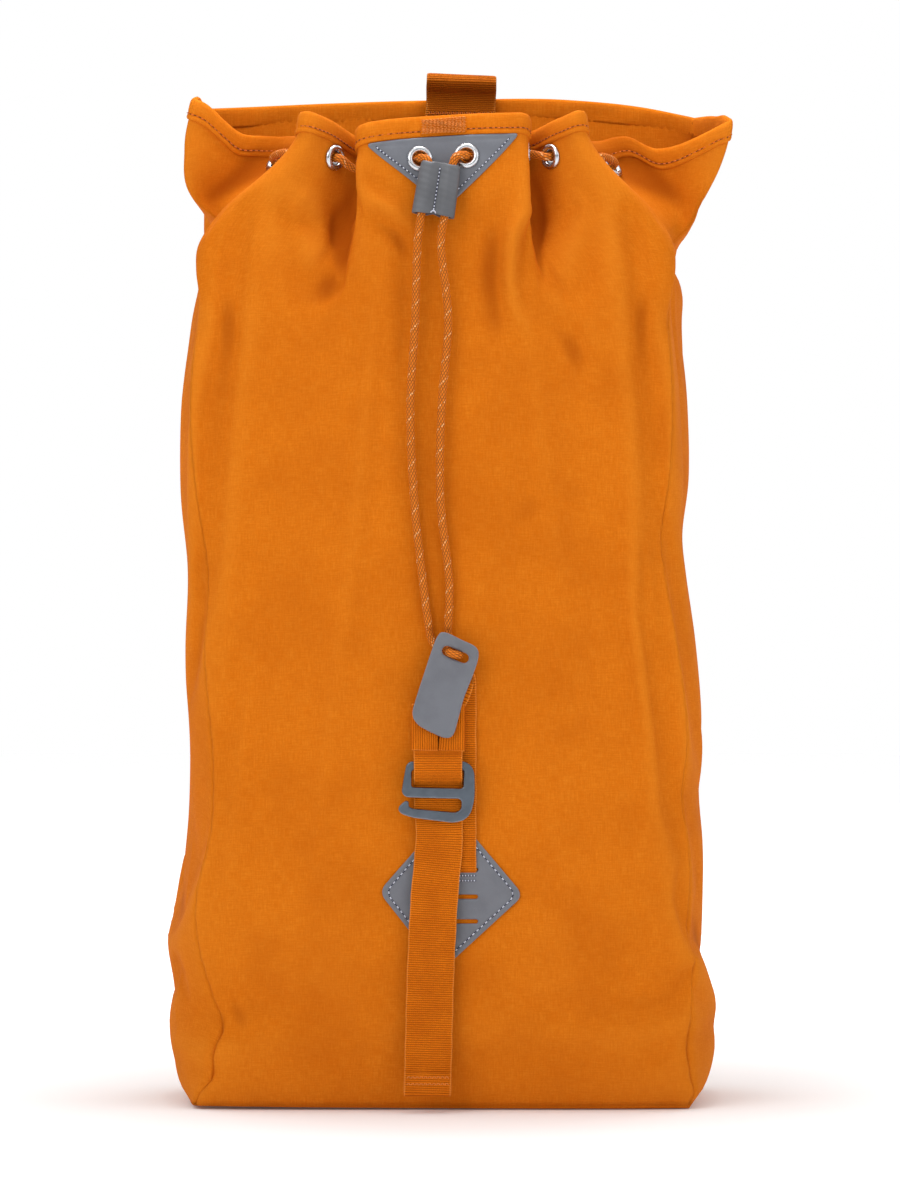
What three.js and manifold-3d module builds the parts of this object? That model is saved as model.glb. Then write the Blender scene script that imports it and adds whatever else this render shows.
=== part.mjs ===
// A tall drawstring bag for rope: pleated canvas body, corded mouth, leather trims and a webbing
// strap with a gate hook. Millimetres. +Z is up, the front faces -Y, and the origin is the centre
// of the underside.

import * as THREE from 'three';
import { mergeVertices } from 'three/addons/utils/BufferGeometryUtils.js';
import Module from 'manifold-3d';

const wasm = await Module();
wasm.setup();

const { lerp, smoothstep } = THREE.MathUtils;

// Driving dimensions
const CLOTH = 1.2;
const GAP = 0.35;
const FLOOR_TOP = 2.0;
const SEAM_GAP = 1.4;
const HEM_HEIGHT = 10;
const HEM_PROUD = 0.6;
const EYELET_DROP = 20;
const EYELET_RADIUS = 6.75;
const EYELET_HOLE = 3.4;
const WASHER_RADIUS = 5.7;
const CORD_RADIUS = 2.1;
const WEB_WIDTH = 25;
const WEB_THICK = 1.6;
const LOOP_WIDTH = 38;
const LEATHER = 1.6;

// Rim heights: middle of the front, front seams, wing tips and back
const RIM_FRONT = 518;
const RIM_SEAM = 511;
const RIM_TIP = { left: 536, right: 524 };
const RIM_BACK = { left: 541, right: 538 };

// Pleats at the rim: flat half-width of the middle pleat, then folds of one pitch each
const FLAT_SHARE = 0.3;
const FOLD_PITCH = 0.5;
const FOLD_DEPTH = 28;
const FLAT_WIDTH = 43;
const FOLD_ADVANCE = 42;

// Distance of the front and back faces from the middle plane, as [height, distance]
const FRONT_FACE = [[0, 66], [50, 80], [360, 80], [450, 70], [545, 58.8]];
const BACK_FACE = [[0, 66], [50, 74], [360, 74], [545, 68]];

// Outermost x of each side, as [height, x]: base corner, waist, shoulder, neck and flared wing
const SIDE = {
  left: [[0, -125], [22, -138], [63, -141], [160, -132], [241, -133], [290, -131], [345, -136],
    [430, -131], [457, -114], [478, -130], [508, -138], [540, -133]],
  right: [[0, 123], [18, 138], [40, 141], [90, 136], [150, 137], [245, 130], [300, 125],
    [379, 127], [440, 124], [453, 116], [466, 133], [500, 149], [524, 154], [545, 150]],
};
const SHOULDER = 430;
const CORNER_INSET = 5;
const BACK_SEAM = { left: -130, right: 138 };

const signOf = { left: -1, right: 1 };
const SIDES = ['left', 'right'];

const bag = new THREE.Group();

// ---------- helpers ----------

function follow(points, height) {
  let i = 0;
  while (i < points.length - 2 && height > points[i + 1][0]) i += 1;
  const [h0, v0] = points[i];
  const [h1, v1] = points[i + 1];
  const share = THREE.MathUtils.clamp((height - h0) / (h1 - h0), 0, 1);
  return lerp(v0, v1, share);
}

function outward(geometry) {
  const position = geometry.attributes.position;
  const index = geometry.index;
  const a = new THREE.Vector3();
  const b = new THREE.Vector3();
  const c = new THREE.Vector3();
  let volume = 0;
  for (let i = 0; i < index.count; i += 3) {
    a.fromBufferAttribute(position, index.getX(i));
    b.fromBufferAttribute(position, index.getX(i + 1));
    c.fromBufferAttribute(position, index.getX(i + 2));
    volume += a.dot(b.cross(c));
  }
  if (volume < 0) index.array.reverse();
  geometry.computeVertexNormals();
  return geometry;
}

function welded(geometry) {
  const copy = geometry.clone();
  copy.deleteAttribute('normal');
  copy.deleteAttribute('uv');
  return mergeVertices(copy, 1e-4);
}

function bend(geometry, place) {
  const shape = welded(geometry);
  const position = shape.attributes.position;
  for (let i = 0; i < position.count; i += 1) {
    const moved = place(position.getX(i), position.getY(i), position.getZ(i));
    position.setXYZ(i, moved.x, moved.y, moved.z);
  }
  return outward(shape);
}

function solidOf(geometry) {
  const shape = outward(welded(geometry));
  const mesh = new wasm.Mesh({
    numProp: 3,
    vertProperties: new Float32Array(shape.attributes.position.array),
    triVerts: new Uint32Array(shape.index.array),
  });
  return new wasm.Manifold(mesh);
}

function geometryOf(solid) {
  const mesh = solid.getMesh();
  const geometry = new THREE.BufferGeometry();
  geometry.setAttribute('position', new THREE.Float32BufferAttribute(mesh.vertProperties, 3));
  geometry.setIndex(new THREE.Uint32BufferAttribute(mesh.triVerts, 1));
  geometry.computeVertexNormals();
  return geometry;
}

function cut(geometry, tools) {
  const solid = tools.reduce((rest, tool) => rest.subtract(solidOf(tool)), solidOf(geometry));
  return geometryOf(solid);
}

function finish(color, roughness, metalness = 0) {
  return () => new THREE.MeshStandardMaterial({ color, roughness, metalness });
}

const canvas = finish(0xd8730f, 0.9);
const leather = finish(0x787880, 0.6);
const webbing = finish(0xcf6d12, 0.8);
const cordFinish = finish(0xc8691a, 0.8);
const nickel = finish(0xc9c9c9, 0.25, 1);
const gunmetal = finish(0x343a44, 0.4, 1);
const board = finish(0x35302a, 0.8);

function add(name, geometry, material, parent = bag) {
  const mesh = new THREE.Mesh(geometry, material());
  mesh.name = name;
  parent.add(mesh);
  return mesh;
}

// ---------- the canvas surface ----------

function frontY(z) {
  return -follow(FRONT_FACE, z);
}

function cornerX(side, z) {
  return follow(SIDE[side], Math.min(z, SHOULDER)) - signOf[side] * CORNER_INSET;
}

// How far the cord has gathered the front at share t of its half-width: 0 below, 1 at the rim
function gathered(t, z) {
  return smoothstep(z, lerp(395, 440, t * t), lerp(485, 517, Math.abs(t)));
}

function pleatX(t) {
  if (t <= FLAT_SHARE) return (t / FLAT_SHARE) * FLAT_WIDTH;
  const beyond = t - FLAT_SHARE;
  const swing = (2 * Math.PI) / FOLD_PITCH;
  return FLAT_WIDTH + FOLD_ADVANCE * (beyond + (0.8 * Math.sin(2 * swing * beyond)) / (2 * swing));
}

function pleatY(t) {
  if (t <= FLAT_SHARE) return 0;
  return FOLD_DEPTH * (0.5 - 0.5 * Math.cos((2 * Math.PI * (t - FLAT_SHARE)) / FOLD_PITCH));
}

function frontPoint(t, z) {
  const side = t < 0 ? 'left' : 'right';
  const share = Math.abs(t);
  const pull = gathered(t, z);
  const open = share * cornerX(side, z);
  const x = lerp(open, signOf[side] * pleatX(share), pull);
  const y = frontY(z) + lerp(12 * share ** 4, pleatY(share), pull);
  return new THREE.Vector3(x, y, z);
}

function backPoint(t, z) {
  const side = t < 0 ? 'left' : 'right';
  const seam = lerp(cornerX(side, z), BACK_SEAM[side], smoothstep(z, SHOULDER, RIM_FRONT));
  const x = Math.abs(t) * seam;
  const y = follow(BACK_FACE, z) - 8 * t ** 4;
  return new THREE.Vector3(x, y, z);
}

// t runs from -1 at the front seam to +1 at the back seam
function gussetPoint(side, t, z) {
  const sign = signOf[side];
  const edge = t < 0 ? frontPoint(sign, z) : backPoint(sign, z);
  const middleX = follow(SIDE[side], z);
  const middleY = lerp(0, -5, smoothstep(z, SHOULDER, RIM_FRONT));
  const roundness = lerp(3, 1.3, smoothstep(z, 440, 500));
  const x = lerp(middleX, edge.x, Math.abs(t) ** roundness);
  const y = lerp(middleY, edge.y, Math.abs(t));
  return new THREE.Vector3(x, y, z);
}

const panels = {
  front: {
    point: frontPoint,
    halfWidth: 128,
    facing: 1,
    rim: (t) => lerp(RIM_FRONT, RIM_SEAM, smoothstep(Math.abs(t), FLAT_SHARE, 1)),
  },
  back: {
    point: backPoint,
    halfWidth: 128,
    facing: -1,
    rim: (t) => follow([[-1, RIM_BACK.left], [0, 542], [1, RIM_BACK.right]], t),
  },
};
for (const side of SIDES) {
  panels[side] = {
    point: (t, z) => gussetPoint(side, t, z),
    halfWidth: 60,
    facing: signOf[side],
    rim: (t) => follow([[-1, RIM_SEAM], [0, RIM_TIP[side]], [1, RIM_BACK[side]]], t),
  };
}

function normalAt(panel, t, z) {
  const step = 0.004;
  const across = panel.point(t + step, z).sub(panel.point(t - step, z));
  const up = panel.point(t, z + 1).sub(panel.point(t, z - 1));
  return across.cross(up).normalize().multiplyScalar(panel.facing);
}

function offSurface(panel, t, z, distance) {
  const inside = THREE.MathUtils.clamp(t, -0.995, 0.995);
  return panel.point(t, z).addScaledVector(normalAt(panel, inside, z), distance);
}

// ---------- eyelets ----------

// Each eyelet sits on one panel at share t, EYELET_DROP below the rim
const EYELETS = [];
for (const side of SIDES) {
  const sign = signOf[side];
  EYELETS.push({ name: `patch_${side}`, panel: panels.front, t: sign * 0.083, lift: LEATHER + GAP });
  EYELETS.push({ name: `pleat_${side}`, panel: panels.front, t: sign * 0.425, lift: 0 });
  EYELETS.push({ name: `fold_${side}`, panel: panels.front, t: sign * 0.675, lift: 0 });
  EYELETS.push({ name: `flank_${side}`, panel: panels.front, t: sign * 0.9, lift: 0.9 });
  EYELETS.push({ name: `wing_${side}`, panel: panels[side], t: -0.7, lift: 0.5 });
}
for (const eyelet of EYELETS) {
  const height = eyelet.panel.rim(eyelet.t) - EYELET_DROP;
  eyelet.centre = eyelet.panel.point(eyelet.t, height);
  eyelet.normal = normalAt(eyelet.panel, eyelet.t, height);
}

function ring(profile, segments = 12) {
  const points = profile.map(([radius, along]) => new THREE.Vector2(radius, along));
  points.push(points[0].clone());
  return new THREE.LatheGeometry(points, segments).rotateX(Math.PI / 2);
}

function punch(eyelet, radius) {
  const tool = new THREE.CylinderGeometry(radius, radius, 16, 12).rotateX(Math.PI / 2);
  const turn = new THREE.Quaternion().setFromUnitVectors(new THREE.Vector3(0, 0, 1), eyelet.normal);
  return tool.applyQuaternion(turn).translate(...eyelet.centre);
}

const BARREL = EYELET_HOLE + 0.9;
const CUT_RADIUS = BARREL + 0.45;

function addEyelets() {
  for (const eyelet of EYELETS) {
    const seat = eyelet.lift + 0.9;
    const flange = ring([
      [EYELET_HOLE, -CLOTH - 2.4],
      [BARREL, -CLOTH - 2.4],
      [BARREL, seat],
      [EYELET_RADIUS, seat],
      [EYELET_HOLE + 1.2, seat + 1.2],
      [EYELET_HOLE, seat + 0.4],
    ]);
    const washer = ring([
      [CUT_RADIUS, -CLOTH - 2.2],
      [WASHER_RADIUS, -CLOTH - 2.2],
      [WASHER_RADIUS, -CLOTH - 1.4],
      [CUT_RADIUS, -CLOTH - 1.4],
    ]);
    for (const [kind, geometry] of [['eyelet', flange], ['washer', washer]]) {
      const mesh = add(`${kind}_${eyelet.name}`, geometry, nickel);
      mesh.position.copy(eyelet.centre);
      mesh.quaternion.setFromUnitVectors(new THREE.Vector3(0, 0, 1), eyelet.normal);
    }
  }
}

// ---------- canvas panels ----------

function addPanel(name, panel, across, up) {
  const top = (t) => panel.rim(t) - HEM_HEIGHT - 2 * GAP;
  const sheet = new THREE.BoxGeometry(2, 1, 1, across, 1, up);
  const seamShare = 1 - SEAM_GAP / panel.halfWidth;
  const geometry = bend(sheet, (u, depth, v) => {
    const t = u * seamShare;
    const share = v + 0.5;
    const rise = lerp(share, smoothstep(share, 0, 1), 0.6);
    return offSurface(panel, t, lerp(FLOOR_TOP, top(t), rise), (depth - 0.5) * CLOTH);
  });
  const holes = EYELETS.filter((eyelet) => eyelet.panel === panel);
  add(name, cut(geometry, holes.map((eyelet) => punch(eyelet, CUT_RADIUS))), canvas);
}

function floorOutline(inset) {
  const shape = new THREE.Shape();
  const half = 125 - inset;
  const deep = 66 - inset;
  const corner = 14;
  shape.moveTo(-half + corner, -deep);
  shape.lineTo(half - corner, -deep);
  shape.absarc(half - corner, -deep + corner, corner, -Math.PI / 2, 0, false);
  shape.absarc(half - corner, deep - corner, corner, 0, Math.PI / 2, false);
  shape.absarc(-half + corner, deep - corner, corner, Math.PI / 2, Math.PI, false);
  shape.absarc(-half + corner, -deep + corner, corner, Math.PI, 1.5 * Math.PI, false);
  return shape;
}

function addCanvas() {
  addPanel('front_panel', panels.front, 34, 14);
  addPanel('back_panel', panels.back, 8, 10);
  addPanel('left_gusset', panels.left, 10, 15);
  addPanel('right_gusset', panels.right, 10, 15);
  const flat = { depth: CLOTH + 0.3, bevelEnabled: false, curveSegments: 4 };
  add('base_panel', new THREE.ExtrudeGeometry(floorOutline(0), flat), canvas);
  const stiff = new THREE.ExtrudeGeometry(floorOutline(9), { ...flat, depth: 2.4 });
  add('base_stiffener', stiff, board).position.z = FLOOR_TOP + GAP;
}

// The hem runs once round the mouth: front, right gusset, back, left gusset
function aroundMouth(share) {
  const leg = share * 4;
  if (leg < 1) return [panels.front, 2 * leg - 1];
  if (leg < 2) return [panels.right, 2 * (leg - 1) - 1];
  if (leg < 3) return [panels.back, 1 - 2 * (leg - 2)];
  return [panels.left, 1 - 2 * (leg - 3)];
}

function addHem() {
  const profile = [[1, 0], [2, 0], [2, 1], [1, 1], [1, 0]].map(([r, h]) => new THREE.Vector2(r, h));
  const band = new THREE.LatheGeometry(profile, 104);
  const geometry = bend(band, (a, height, b) => {
    const share = (Math.atan2(a, b) / (2 * Math.PI) + 1) % 1;
    const [panel, t] = aroundMouth(share);
    const outer = Math.hypot(a, b) - 1;
    const z = panel.rim(t) - HEM_HEIGHT * (1 - height);
    return offSurface(panel, t, z, lerp(-CLOTH - HEM_PROUD, HEM_PROUD, outer));
  });
  add('rim_hem', geometry, canvas);
}

// ---------- leather and cord at the mouth ----------

// The middle of the front leans back towards the rim; pieces on it share this frame
const LEAN = Math.atan2(frontY(RIM_FRONT) - frontY(450), RIM_FRONT - 450);
const mouth = new THREE.Group();
mouth.position.set(0, frontY(RIM_FRONT), RIM_FRONT);
mouth.rotation.x = -LEAN;
bag.add(mouth);

function plate(shape, thickness, extra = {}) {
  const settings = { depth: thickness, bevelEnabled: false, curveSegments: 5, ...extra };
  return new THREE.ExtrudeGeometry(shape, settings).rotateX(Math.PI / 2);
}

function roundedShape(corners, radius) {
  const shape = new THREE.Shape();
  const points = corners.map(([x, y]) => new THREE.Vector2(x, y));
  points.forEach((point, i) => {
    const before = points[(i + points.length - 1) % points.length];
    const after = points[(i + 1) % points.length];
    const enter = before.clone().sub(point).setLength(radius).add(point);
    const leave = after.clone().sub(point).setLength(radius).add(point);
    if (i === 0) shape.moveTo(enter.x, enter.y);
    else shape.lineTo(enter.x, enter.y);
    shape.quadraticCurveTo(point.x, point.y, leave.x, leave.y);
  });
  return shape;
}

function rectangle(width, height, x = 0, y = 0) {
  const w = width / 2;
  const h = height / 2;
  return [[x - w, y - h], [x + w, y - h], [x + w, y + h], [x - w, y + h]];
}

function discHole(x, y, radius) {
  return new THREE.Path().absarc(x, y, radius, 0, 2 * Math.PI, false);
}

const SLEEVE = { width: 22, height: 28, depth: 8.2, x: -3.2, z: -38.4, tilt: 0.15, spread: 6, bore: 3.2 };
const SLEEVE_STANDOFF = 4.0;

function addMouthTrim() {
  const triangle = roundedShape([[-39, -10.6], [0.8, -48], [38.5, -10.6]], 3);
  for (const side of SIDES) {
    const eyelet = EYELETS.find((item) => item.name === `patch_${side}`);
    shapeHole(triangle, eyelet);
  }
  const patch = add('cord_patch', plate(triangle, LEATHER), leather, mouth);
  patch.position.y = -GAP;

  const overlap = plate(roundedShape(rectangle(21, 8.4), 0.8), 0.7);
  add('hem_overlap', overlap, canvas, mouth).position.set(0.3, -HEM_PROUD - GAP, -5);

  const section = roundedShape(rectangle(SLEEVE.width, SLEEVE.depth), 2.8);
  for (const side of SIDES) section.holes.push(discHole(signOf[side] * SLEEVE.spread, 0, SLEEVE.bore));
  const settings = { depth: SLEEVE.height, bevelEnabled: false, curveSegments: 5 };
  const sleeve = new THREE.ExtrudeGeometry(section, settings).translate(0, 0, -SLEEVE.height / 2);
  const mesh = add('cord_sleeve', sleeve, leather, mouth);
  mesh.position.set(SLEEVE.x, -SLEEVE_STANDOFF - SLEEVE.depth / 2, SLEEVE.z);
  mesh.rotation.y = SLEEVE.tilt;
}

function shapeHole(shape, eyelet) {
  const along = (eyelet.centre.z - RIM_FRONT) / Math.cos(LEAN);
  shape.holes.push(discHole(eyelet.centre.x, along, CUT_RADIUS));
}

// ---------- cords ----------

function tube(points, steps, radius = CORD_RADIUS) {
  const path = new THREE.CatmullRomCurve3(points, false, 'centripetal');
  const circle = new THREE.Shape().absarc(0, 0, radius, 0, 2 * Math.PI, false);
  return new THREE.ExtrudeGeometry(circle, { steps, extrudePath: path, curveSegments: 3 });
}

function throughEyelet(name, inwards, proud = 3.4) {
  const eyelet = EYELETS.find((item) => item.name === name);
  const stations = [proud, 0, -4.4].map((d) => eyelet.centre.clone().addScaledVector(eyelet.normal, d));
  return inwards ? stations : stations.reverse();
}

// How far in front of a patch eyelet the run ends and the hanging tail begins, so that the tail can turn
const RUN_END = 1.2;
const TAIL_START = 4.2;

// From the patch eyelet, in and out of the folds, and into the wing
function cordHalf(side) {
  const sign = signOf[side];
  const path = [
    ...throughEyelet(`patch_${side}`, true, RUN_END),
    new THREE.Vector3(sign * 25, -53, 497),
    ...throughEyelet(`pleat_${side}`, false),
    ...throughEyelet(`fold_${side}`, true),
    ...throughEyelet(`flank_${side}`, false),
    ...throughEyelet(`wing_${side}`, true),
    new THREE.Vector3(sign * 96, 10, 494),
    new THREE.Vector3(sign * 96, 42, 492),
    new THREE.Vector3(sign * 70, 58, 491),
  ];
  return path;
}

// y that rests a cord on the front face, hanging free under the sleeve
const TAIL_TOP = { x: SLEEVE.spread, offset: SLEEVE_STANDOFF + SLEEVE.depth / 2 };

function inMouth(x, offset, z) {
  return new THREE.Vector3(x, -offset, z).applyEuler(mouth.rotation).add(mouth.position);
}

function inSleeve(side, along) {
  const local = new THREE.Vector3(signOf[side] * SLEEVE.spread, 0, along);
  local.applyAxisAngle(new THREE.Vector3(0, 1, 0), SLEEVE.tilt);
  return inMouth(SLEEVE.x + local.x, TAIL_TOP.offset, SLEEVE.z + local.z);
}

// x of each hanging cord as [height, x], from under the sleeve to above the tag
const TAIL_SWAY = {
  left: [[413, -14.5], [367, -17], [319, -15], [275, -10.3], [252, -7.2]],
  right: [[413, 2.6], [367, -0.8], [319, -1.4], [275, 3.2], [252, 2.6]],
};
const TAG_PIVOT = new THREE.Vector3(0, -84, 249);

function addCords() {
  const left = cordHalf('left').reverse();
  const run = [...left.reverse(), new THREE.Vector3(0, 59.5, 490), ...cordHalf('right').reverse()];
  add('drawcord', tube(run, 150), cordFinish);

  for (const side of SIDES) {
    const eyelet = EYELETS.find((item) => item.name === `patch_${side}`);
    const starts = [TAIL_START, TAIL_START + 1].map((d) => eyelet.centre.clone().addScaledVector(eyelet.normal, d));
    const turn = eyelet.centre.clone().addScaledVector(eyelet.normal, 7.4);
    turn.x = lerp(turn.x, inSleeve(side, SLEEVE.height / 2).x, 0.7);
    turn.z -= 1.4;
    const hanging = TAIL_SWAY[side].map(([z, x]) => new THREE.Vector3(x, frontY(z) - 3.4, z));
    hanging[hanging.length - 1].z = TAG_PIVOT.z + 2.3;
    const path = [...starts, turn];
    for (const along of [12, 0, -12, -26]) path.push(inSleeve(side, along));
    add(`cord_tail_${side}`, tube([...path, ...hanging], 44), cordFinish);
  }
}

// ---------- pull tag ----------

const TAG = { width: 22, height: 49, thick: 2.2, x: 1, z: 223, lean: 0.28, offset: 10.2 };

function addTag() {
  const outline = roundedShape(rectangle(TAG.width, TAG.height), 5);
  outline.holes.push(roundedShape(rectangle(12.5, 6, 0, 16.5), 2.6));
  const tag = add('pull_tag', plate(outline, TAG.thick), leather);
  tag.position.set(TAG.x, frontY(TAG.z) - TAG.offset, TAG.z);
  tag.rotation.y = TAG.lean;

  const slot = new THREE.Vector3(0, -TAG.thick / 2, 16.5);
  slot.applyAxisAngle(new THREE.Vector3(0, 1, 0), TAG.lean).add(tag.position);
  const across = new THREE.Vector3(3, 0, 0).applyAxisAngle(new THREE.Vector3(0, 1, 0), TAG.lean);
  const top = TAG_PIVOT.z - 1.5;
  const bight = [
    new THREE.Vector3(-6.9, -83.4, top),
    new THREE.Vector3(-5.2, -85, 243),
    slot.clone().sub(across).add(new THREE.Vector3(0, 3.6, 0.6)),
    slot.clone(),
    slot.clone().add(across).add(new THREE.Vector3(0, 3.6, 0.6)),
    new THREE.Vector3(6.5, -85, 243),
    new THREE.Vector3(2.6, -83.4, top),
  ];
  add('cord_bight', tube(bight, 22, CORD_RADIUS - 0.25), cordFinish);
}

// ---------- strap, keeper and hook ----------

const STRAP = { anchorX: 4.7, anchorZ: 126.6, foldZ: 226, hookX: -2.6, tailEndX: -8 };
const HOOK = { x: -3, z: 167.5, top: 184, offset: 6.6, thick: 3.6 };
const TAIL_TOP_Z = 149.7;
const FLEX_GAP = 0.7;
const TAIL_END_Z = 10.5;
const LEG_OFFSET = 3.3;

// A strap follows [offset from the front face, height, x] stations; WEB_WIDTH lies along X
function strapGeometry(stations, width, thickness) {
  const last = stations.length - 1;
  const at = (i) => stations[THREE.MathUtils.clamp(i, 0, last)];
  const block = new THREE.BoxGeometry(width, thickness, last, 1, 1, last);
  return bend(block, (across, depth, along) => {
    const i = Math.round(along + last / 2);
    const [offset, height, x] = at(i);
    const rise = at(i + 1)[1] - at(i - 1)[1];
    const run = at(i + 1)[0] - at(i - 1)[0];
    const length = Math.hypot(rise, run);
    const out = offset + (depth * rise) / length;
    const up = height - (depth * run) / length;
    return new THREE.Vector3(x + across, -out, up);
  });
}

function addStrap() {
  const face = -frontY(200);
  const leg = face + LEG_OFFSET;
  const front = face + 7;
  const overBar = face + HOOK.offset + HOOK.thick + 2.4;
  const behind = face + HOOK.offset - 1.2;
  const stations = [
    [face + 0.8, STRAP.anchorZ - 0.3, STRAP.anchorX],
    [face + 2.2, STRAP.anchorZ - 0.3, STRAP.anchorX],
    [leg, STRAP.anchorZ + 3, STRAP.anchorX],
    [leg, 175, STRAP.anchorX],
    [leg, STRAP.foldZ - 4, STRAP.anchorX],
    [leg + 0.4, STRAP.foldZ - 1.2, 3.4],
    [leg + 1.8, STRAP.foldZ, 1.2],
    [front - 0.4, STRAP.foldZ - 1.2, -1],
    [front, STRAP.foldZ - 4, STRAP.hookX],
    [front, 188.3, STRAP.hookX],
    [overBar, 185.5, STRAP.hookX],
    [overBar, 177, STRAP.hookX],
    [behind, 170.2, STRAP.hookX],
    [behind, 160, STRAP.hookX],
    [behind, TAIL_TOP_Z + FLEX_GAP, STRAP.hookX],
  ];
  add('hook_strap', strapGeometry(stations, WEB_WIDTH, WEB_THICK), webbing);

  const tail = [];
  const pieces = 6;
  for (let i = 0; i <= pieces; i += 1) {
    const share = i / pieces;
    const hang = 2.4 * Math.sin(Math.PI * share);
    const height = lerp(TAIL_TOP_Z - FLEX_GAP, TAIL_END_Z, share);
    tail.push([behind + hang, height, lerp(STRAP.hookX, STRAP.tailEndX, share)]);
  }
  add('strap_tail', strapGeometry(tail, WEB_WIDTH, WEB_THICK), webbing);
}

function addKeeper() {
  const inner = roundedShape(rectangle(26, 2.3), 0.9);
  const outer = roundedShape(rectangle(28.6, 4.9), 1.6);
  outer.holes.push(inner);
  const band = new THREE.ExtrudeGeometry(outer, { depth: 24, bevelEnabled: false, curveSegments: 4 });
  const keeper = add('strap_keeper', band, webbing);
  keeper.position.set(STRAP.hookX, frontY(200) - 7, 189.5);
}

function addHook() {
  const frame = roundedShape([[-18.6, -5], [-18.6, 15.6], [18.9, 15.6], [18.9, -14], [11, -16.5],
    [-20.4, -11.2], [-20.4, -4.4], [-15.2, -4.4], [-14.6, -7.2], [13.4, -11.6], [13.4, -5]], 1.5);
  frame.holes.push(roundedShape([[-14.2, 0], [13.9, 0], [13.9, 11.5], [-14.2, 11.5]], 1.5));
  const bevel = { bevelEnabled: true, bevelThickness: 0.5, bevelSize: 0.5, bevelSegments: 1 };
  const body = plate(frame, HOOK.thick - 1, { ...bevel, curveSegments: 3 });
  add('gate_hook', body, gunmetal).position.set(HOOK.x, frontY(200) - HOOK.offset - 0.5, HOOK.z);
}

// ---------- diamond patch ----------

const DIAMOND = { x: 4.2, z: 115, halfWidth: 38, halfHeight: 42.5 };
const SLOT = { width: 27, height: 3.4 };
const SLOT_HEIGHTS = [STRAP.anchorZ, 112.6, 99.8];

function diamondOutline(shrink) {
  const w = DIAMOND.halfWidth - shrink;
  const h = DIAMOND.halfHeight - shrink;
  return roundedShape([[0, -h], [w, 0], [0, h], [-w, 0]], 9);
}

function addDiamond() {
  const outline = diamondOutline(0);
  for (const height of SLOT_HEIGHTS) {
    const slot = rectangle(SLOT.width, SLOT.height, STRAP.anchorX - DIAMOND.x, height - DIAMOND.z);
    outline.holes.push(roundedShape(slot, 1.1));
  }
  const patch = add('diamond_patch', plate(outline, LEATHER), leather);
  patch.position.set(DIAMOND.x, frontY(200) - GAP, DIAMOND.z);
  const backing = add('patch_backing', plate(diamondOutline(6), 1.4), webbing);
  backing.position.set(DIAMOND.x, frontY(200) + CLOTH + GAP + 1.4, DIAMOND.z);
}

// ---------- haul loop ----------

const LOOP = { x: 9.3, stitchZ: 530, top: 553, rootZ: 503 };

function addHaulLoop() {
  const inner = follow(BACK_FACE, LOOP.stitchZ) - CLOTH - HEM_PROUD - 1.6;
  const legs = [inner, inner - 3.4];
  const stations = [
    [legs[0], LOOP.stitchZ],
    [legs[0], 543],
    [legs[0] + 1.2, LOOP.top - 4],
    [legs[0] + 0.4, LOOP.top - 1],
    [legs[0] - 1.7, LOOP.top],
    [legs[1] - 0.4, LOOP.top - 1],
    [legs[1] - 1.2, LOOP.top - 4],
    [legs[1] - 0.6, 541],
    [legs[1], LOOP.stitchZ],
  ].map(([y, z]) => [-y, z, LOOP.x]);
  add('haul_loop', strapGeometry(stations, LOOP_WIDTH, WEB_THICK), webbing);
  const root = new THREE.BoxGeometry(LOOP_WIDTH, 5.2, LOOP.stitchZ - LOOP.rootZ - GAP);
  const sewn = add('loop_anchor', root, webbing);
  sewn.position.set(LOOP.x, inner - 1.7, (LOOP.stitchZ + LOOP.rootZ - GAP) / 2 - 1);
}

addCanvas();
addHem();
addEyelets();
addMouthTrim();
addCords();
addTag();
addStrap();
addKeeper();
addHook();
addDiamond();
addHaulLoop();

export default bag;
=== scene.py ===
"""Looks of a tall canvas drawstring bag: cloth body, cord, leather trims, webbing and a gate hook."""
import math

import bmesh
import bpy
import numpy as np
from mathutils import Matrix, Vector


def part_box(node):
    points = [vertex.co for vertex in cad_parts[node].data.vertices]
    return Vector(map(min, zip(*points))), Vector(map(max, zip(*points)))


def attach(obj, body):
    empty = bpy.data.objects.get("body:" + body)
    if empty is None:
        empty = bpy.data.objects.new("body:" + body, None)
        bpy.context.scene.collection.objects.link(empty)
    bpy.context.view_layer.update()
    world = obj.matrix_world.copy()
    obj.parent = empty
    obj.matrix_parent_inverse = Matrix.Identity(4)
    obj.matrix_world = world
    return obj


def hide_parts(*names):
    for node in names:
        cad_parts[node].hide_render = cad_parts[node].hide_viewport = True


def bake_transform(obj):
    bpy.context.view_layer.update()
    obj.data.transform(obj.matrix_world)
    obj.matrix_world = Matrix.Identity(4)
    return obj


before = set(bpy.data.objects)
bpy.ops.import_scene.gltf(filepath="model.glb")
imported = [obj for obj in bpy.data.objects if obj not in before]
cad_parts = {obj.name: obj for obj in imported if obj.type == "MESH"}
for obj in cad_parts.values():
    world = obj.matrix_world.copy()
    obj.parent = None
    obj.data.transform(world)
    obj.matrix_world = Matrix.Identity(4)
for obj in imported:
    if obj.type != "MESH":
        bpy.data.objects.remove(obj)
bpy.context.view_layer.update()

MM = 0.001
FRONT_PLANE = -80.0

# ---------------------------------------------------------------- small maths


def smoothstep(x, low, high):
    share = np.clip((np.asarray(x, float) - low) / (high - low), 0, 1)
    return share * share * (3 - 2 * share)


def mix(a, b, share):
    return a + (b - a) * share


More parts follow.
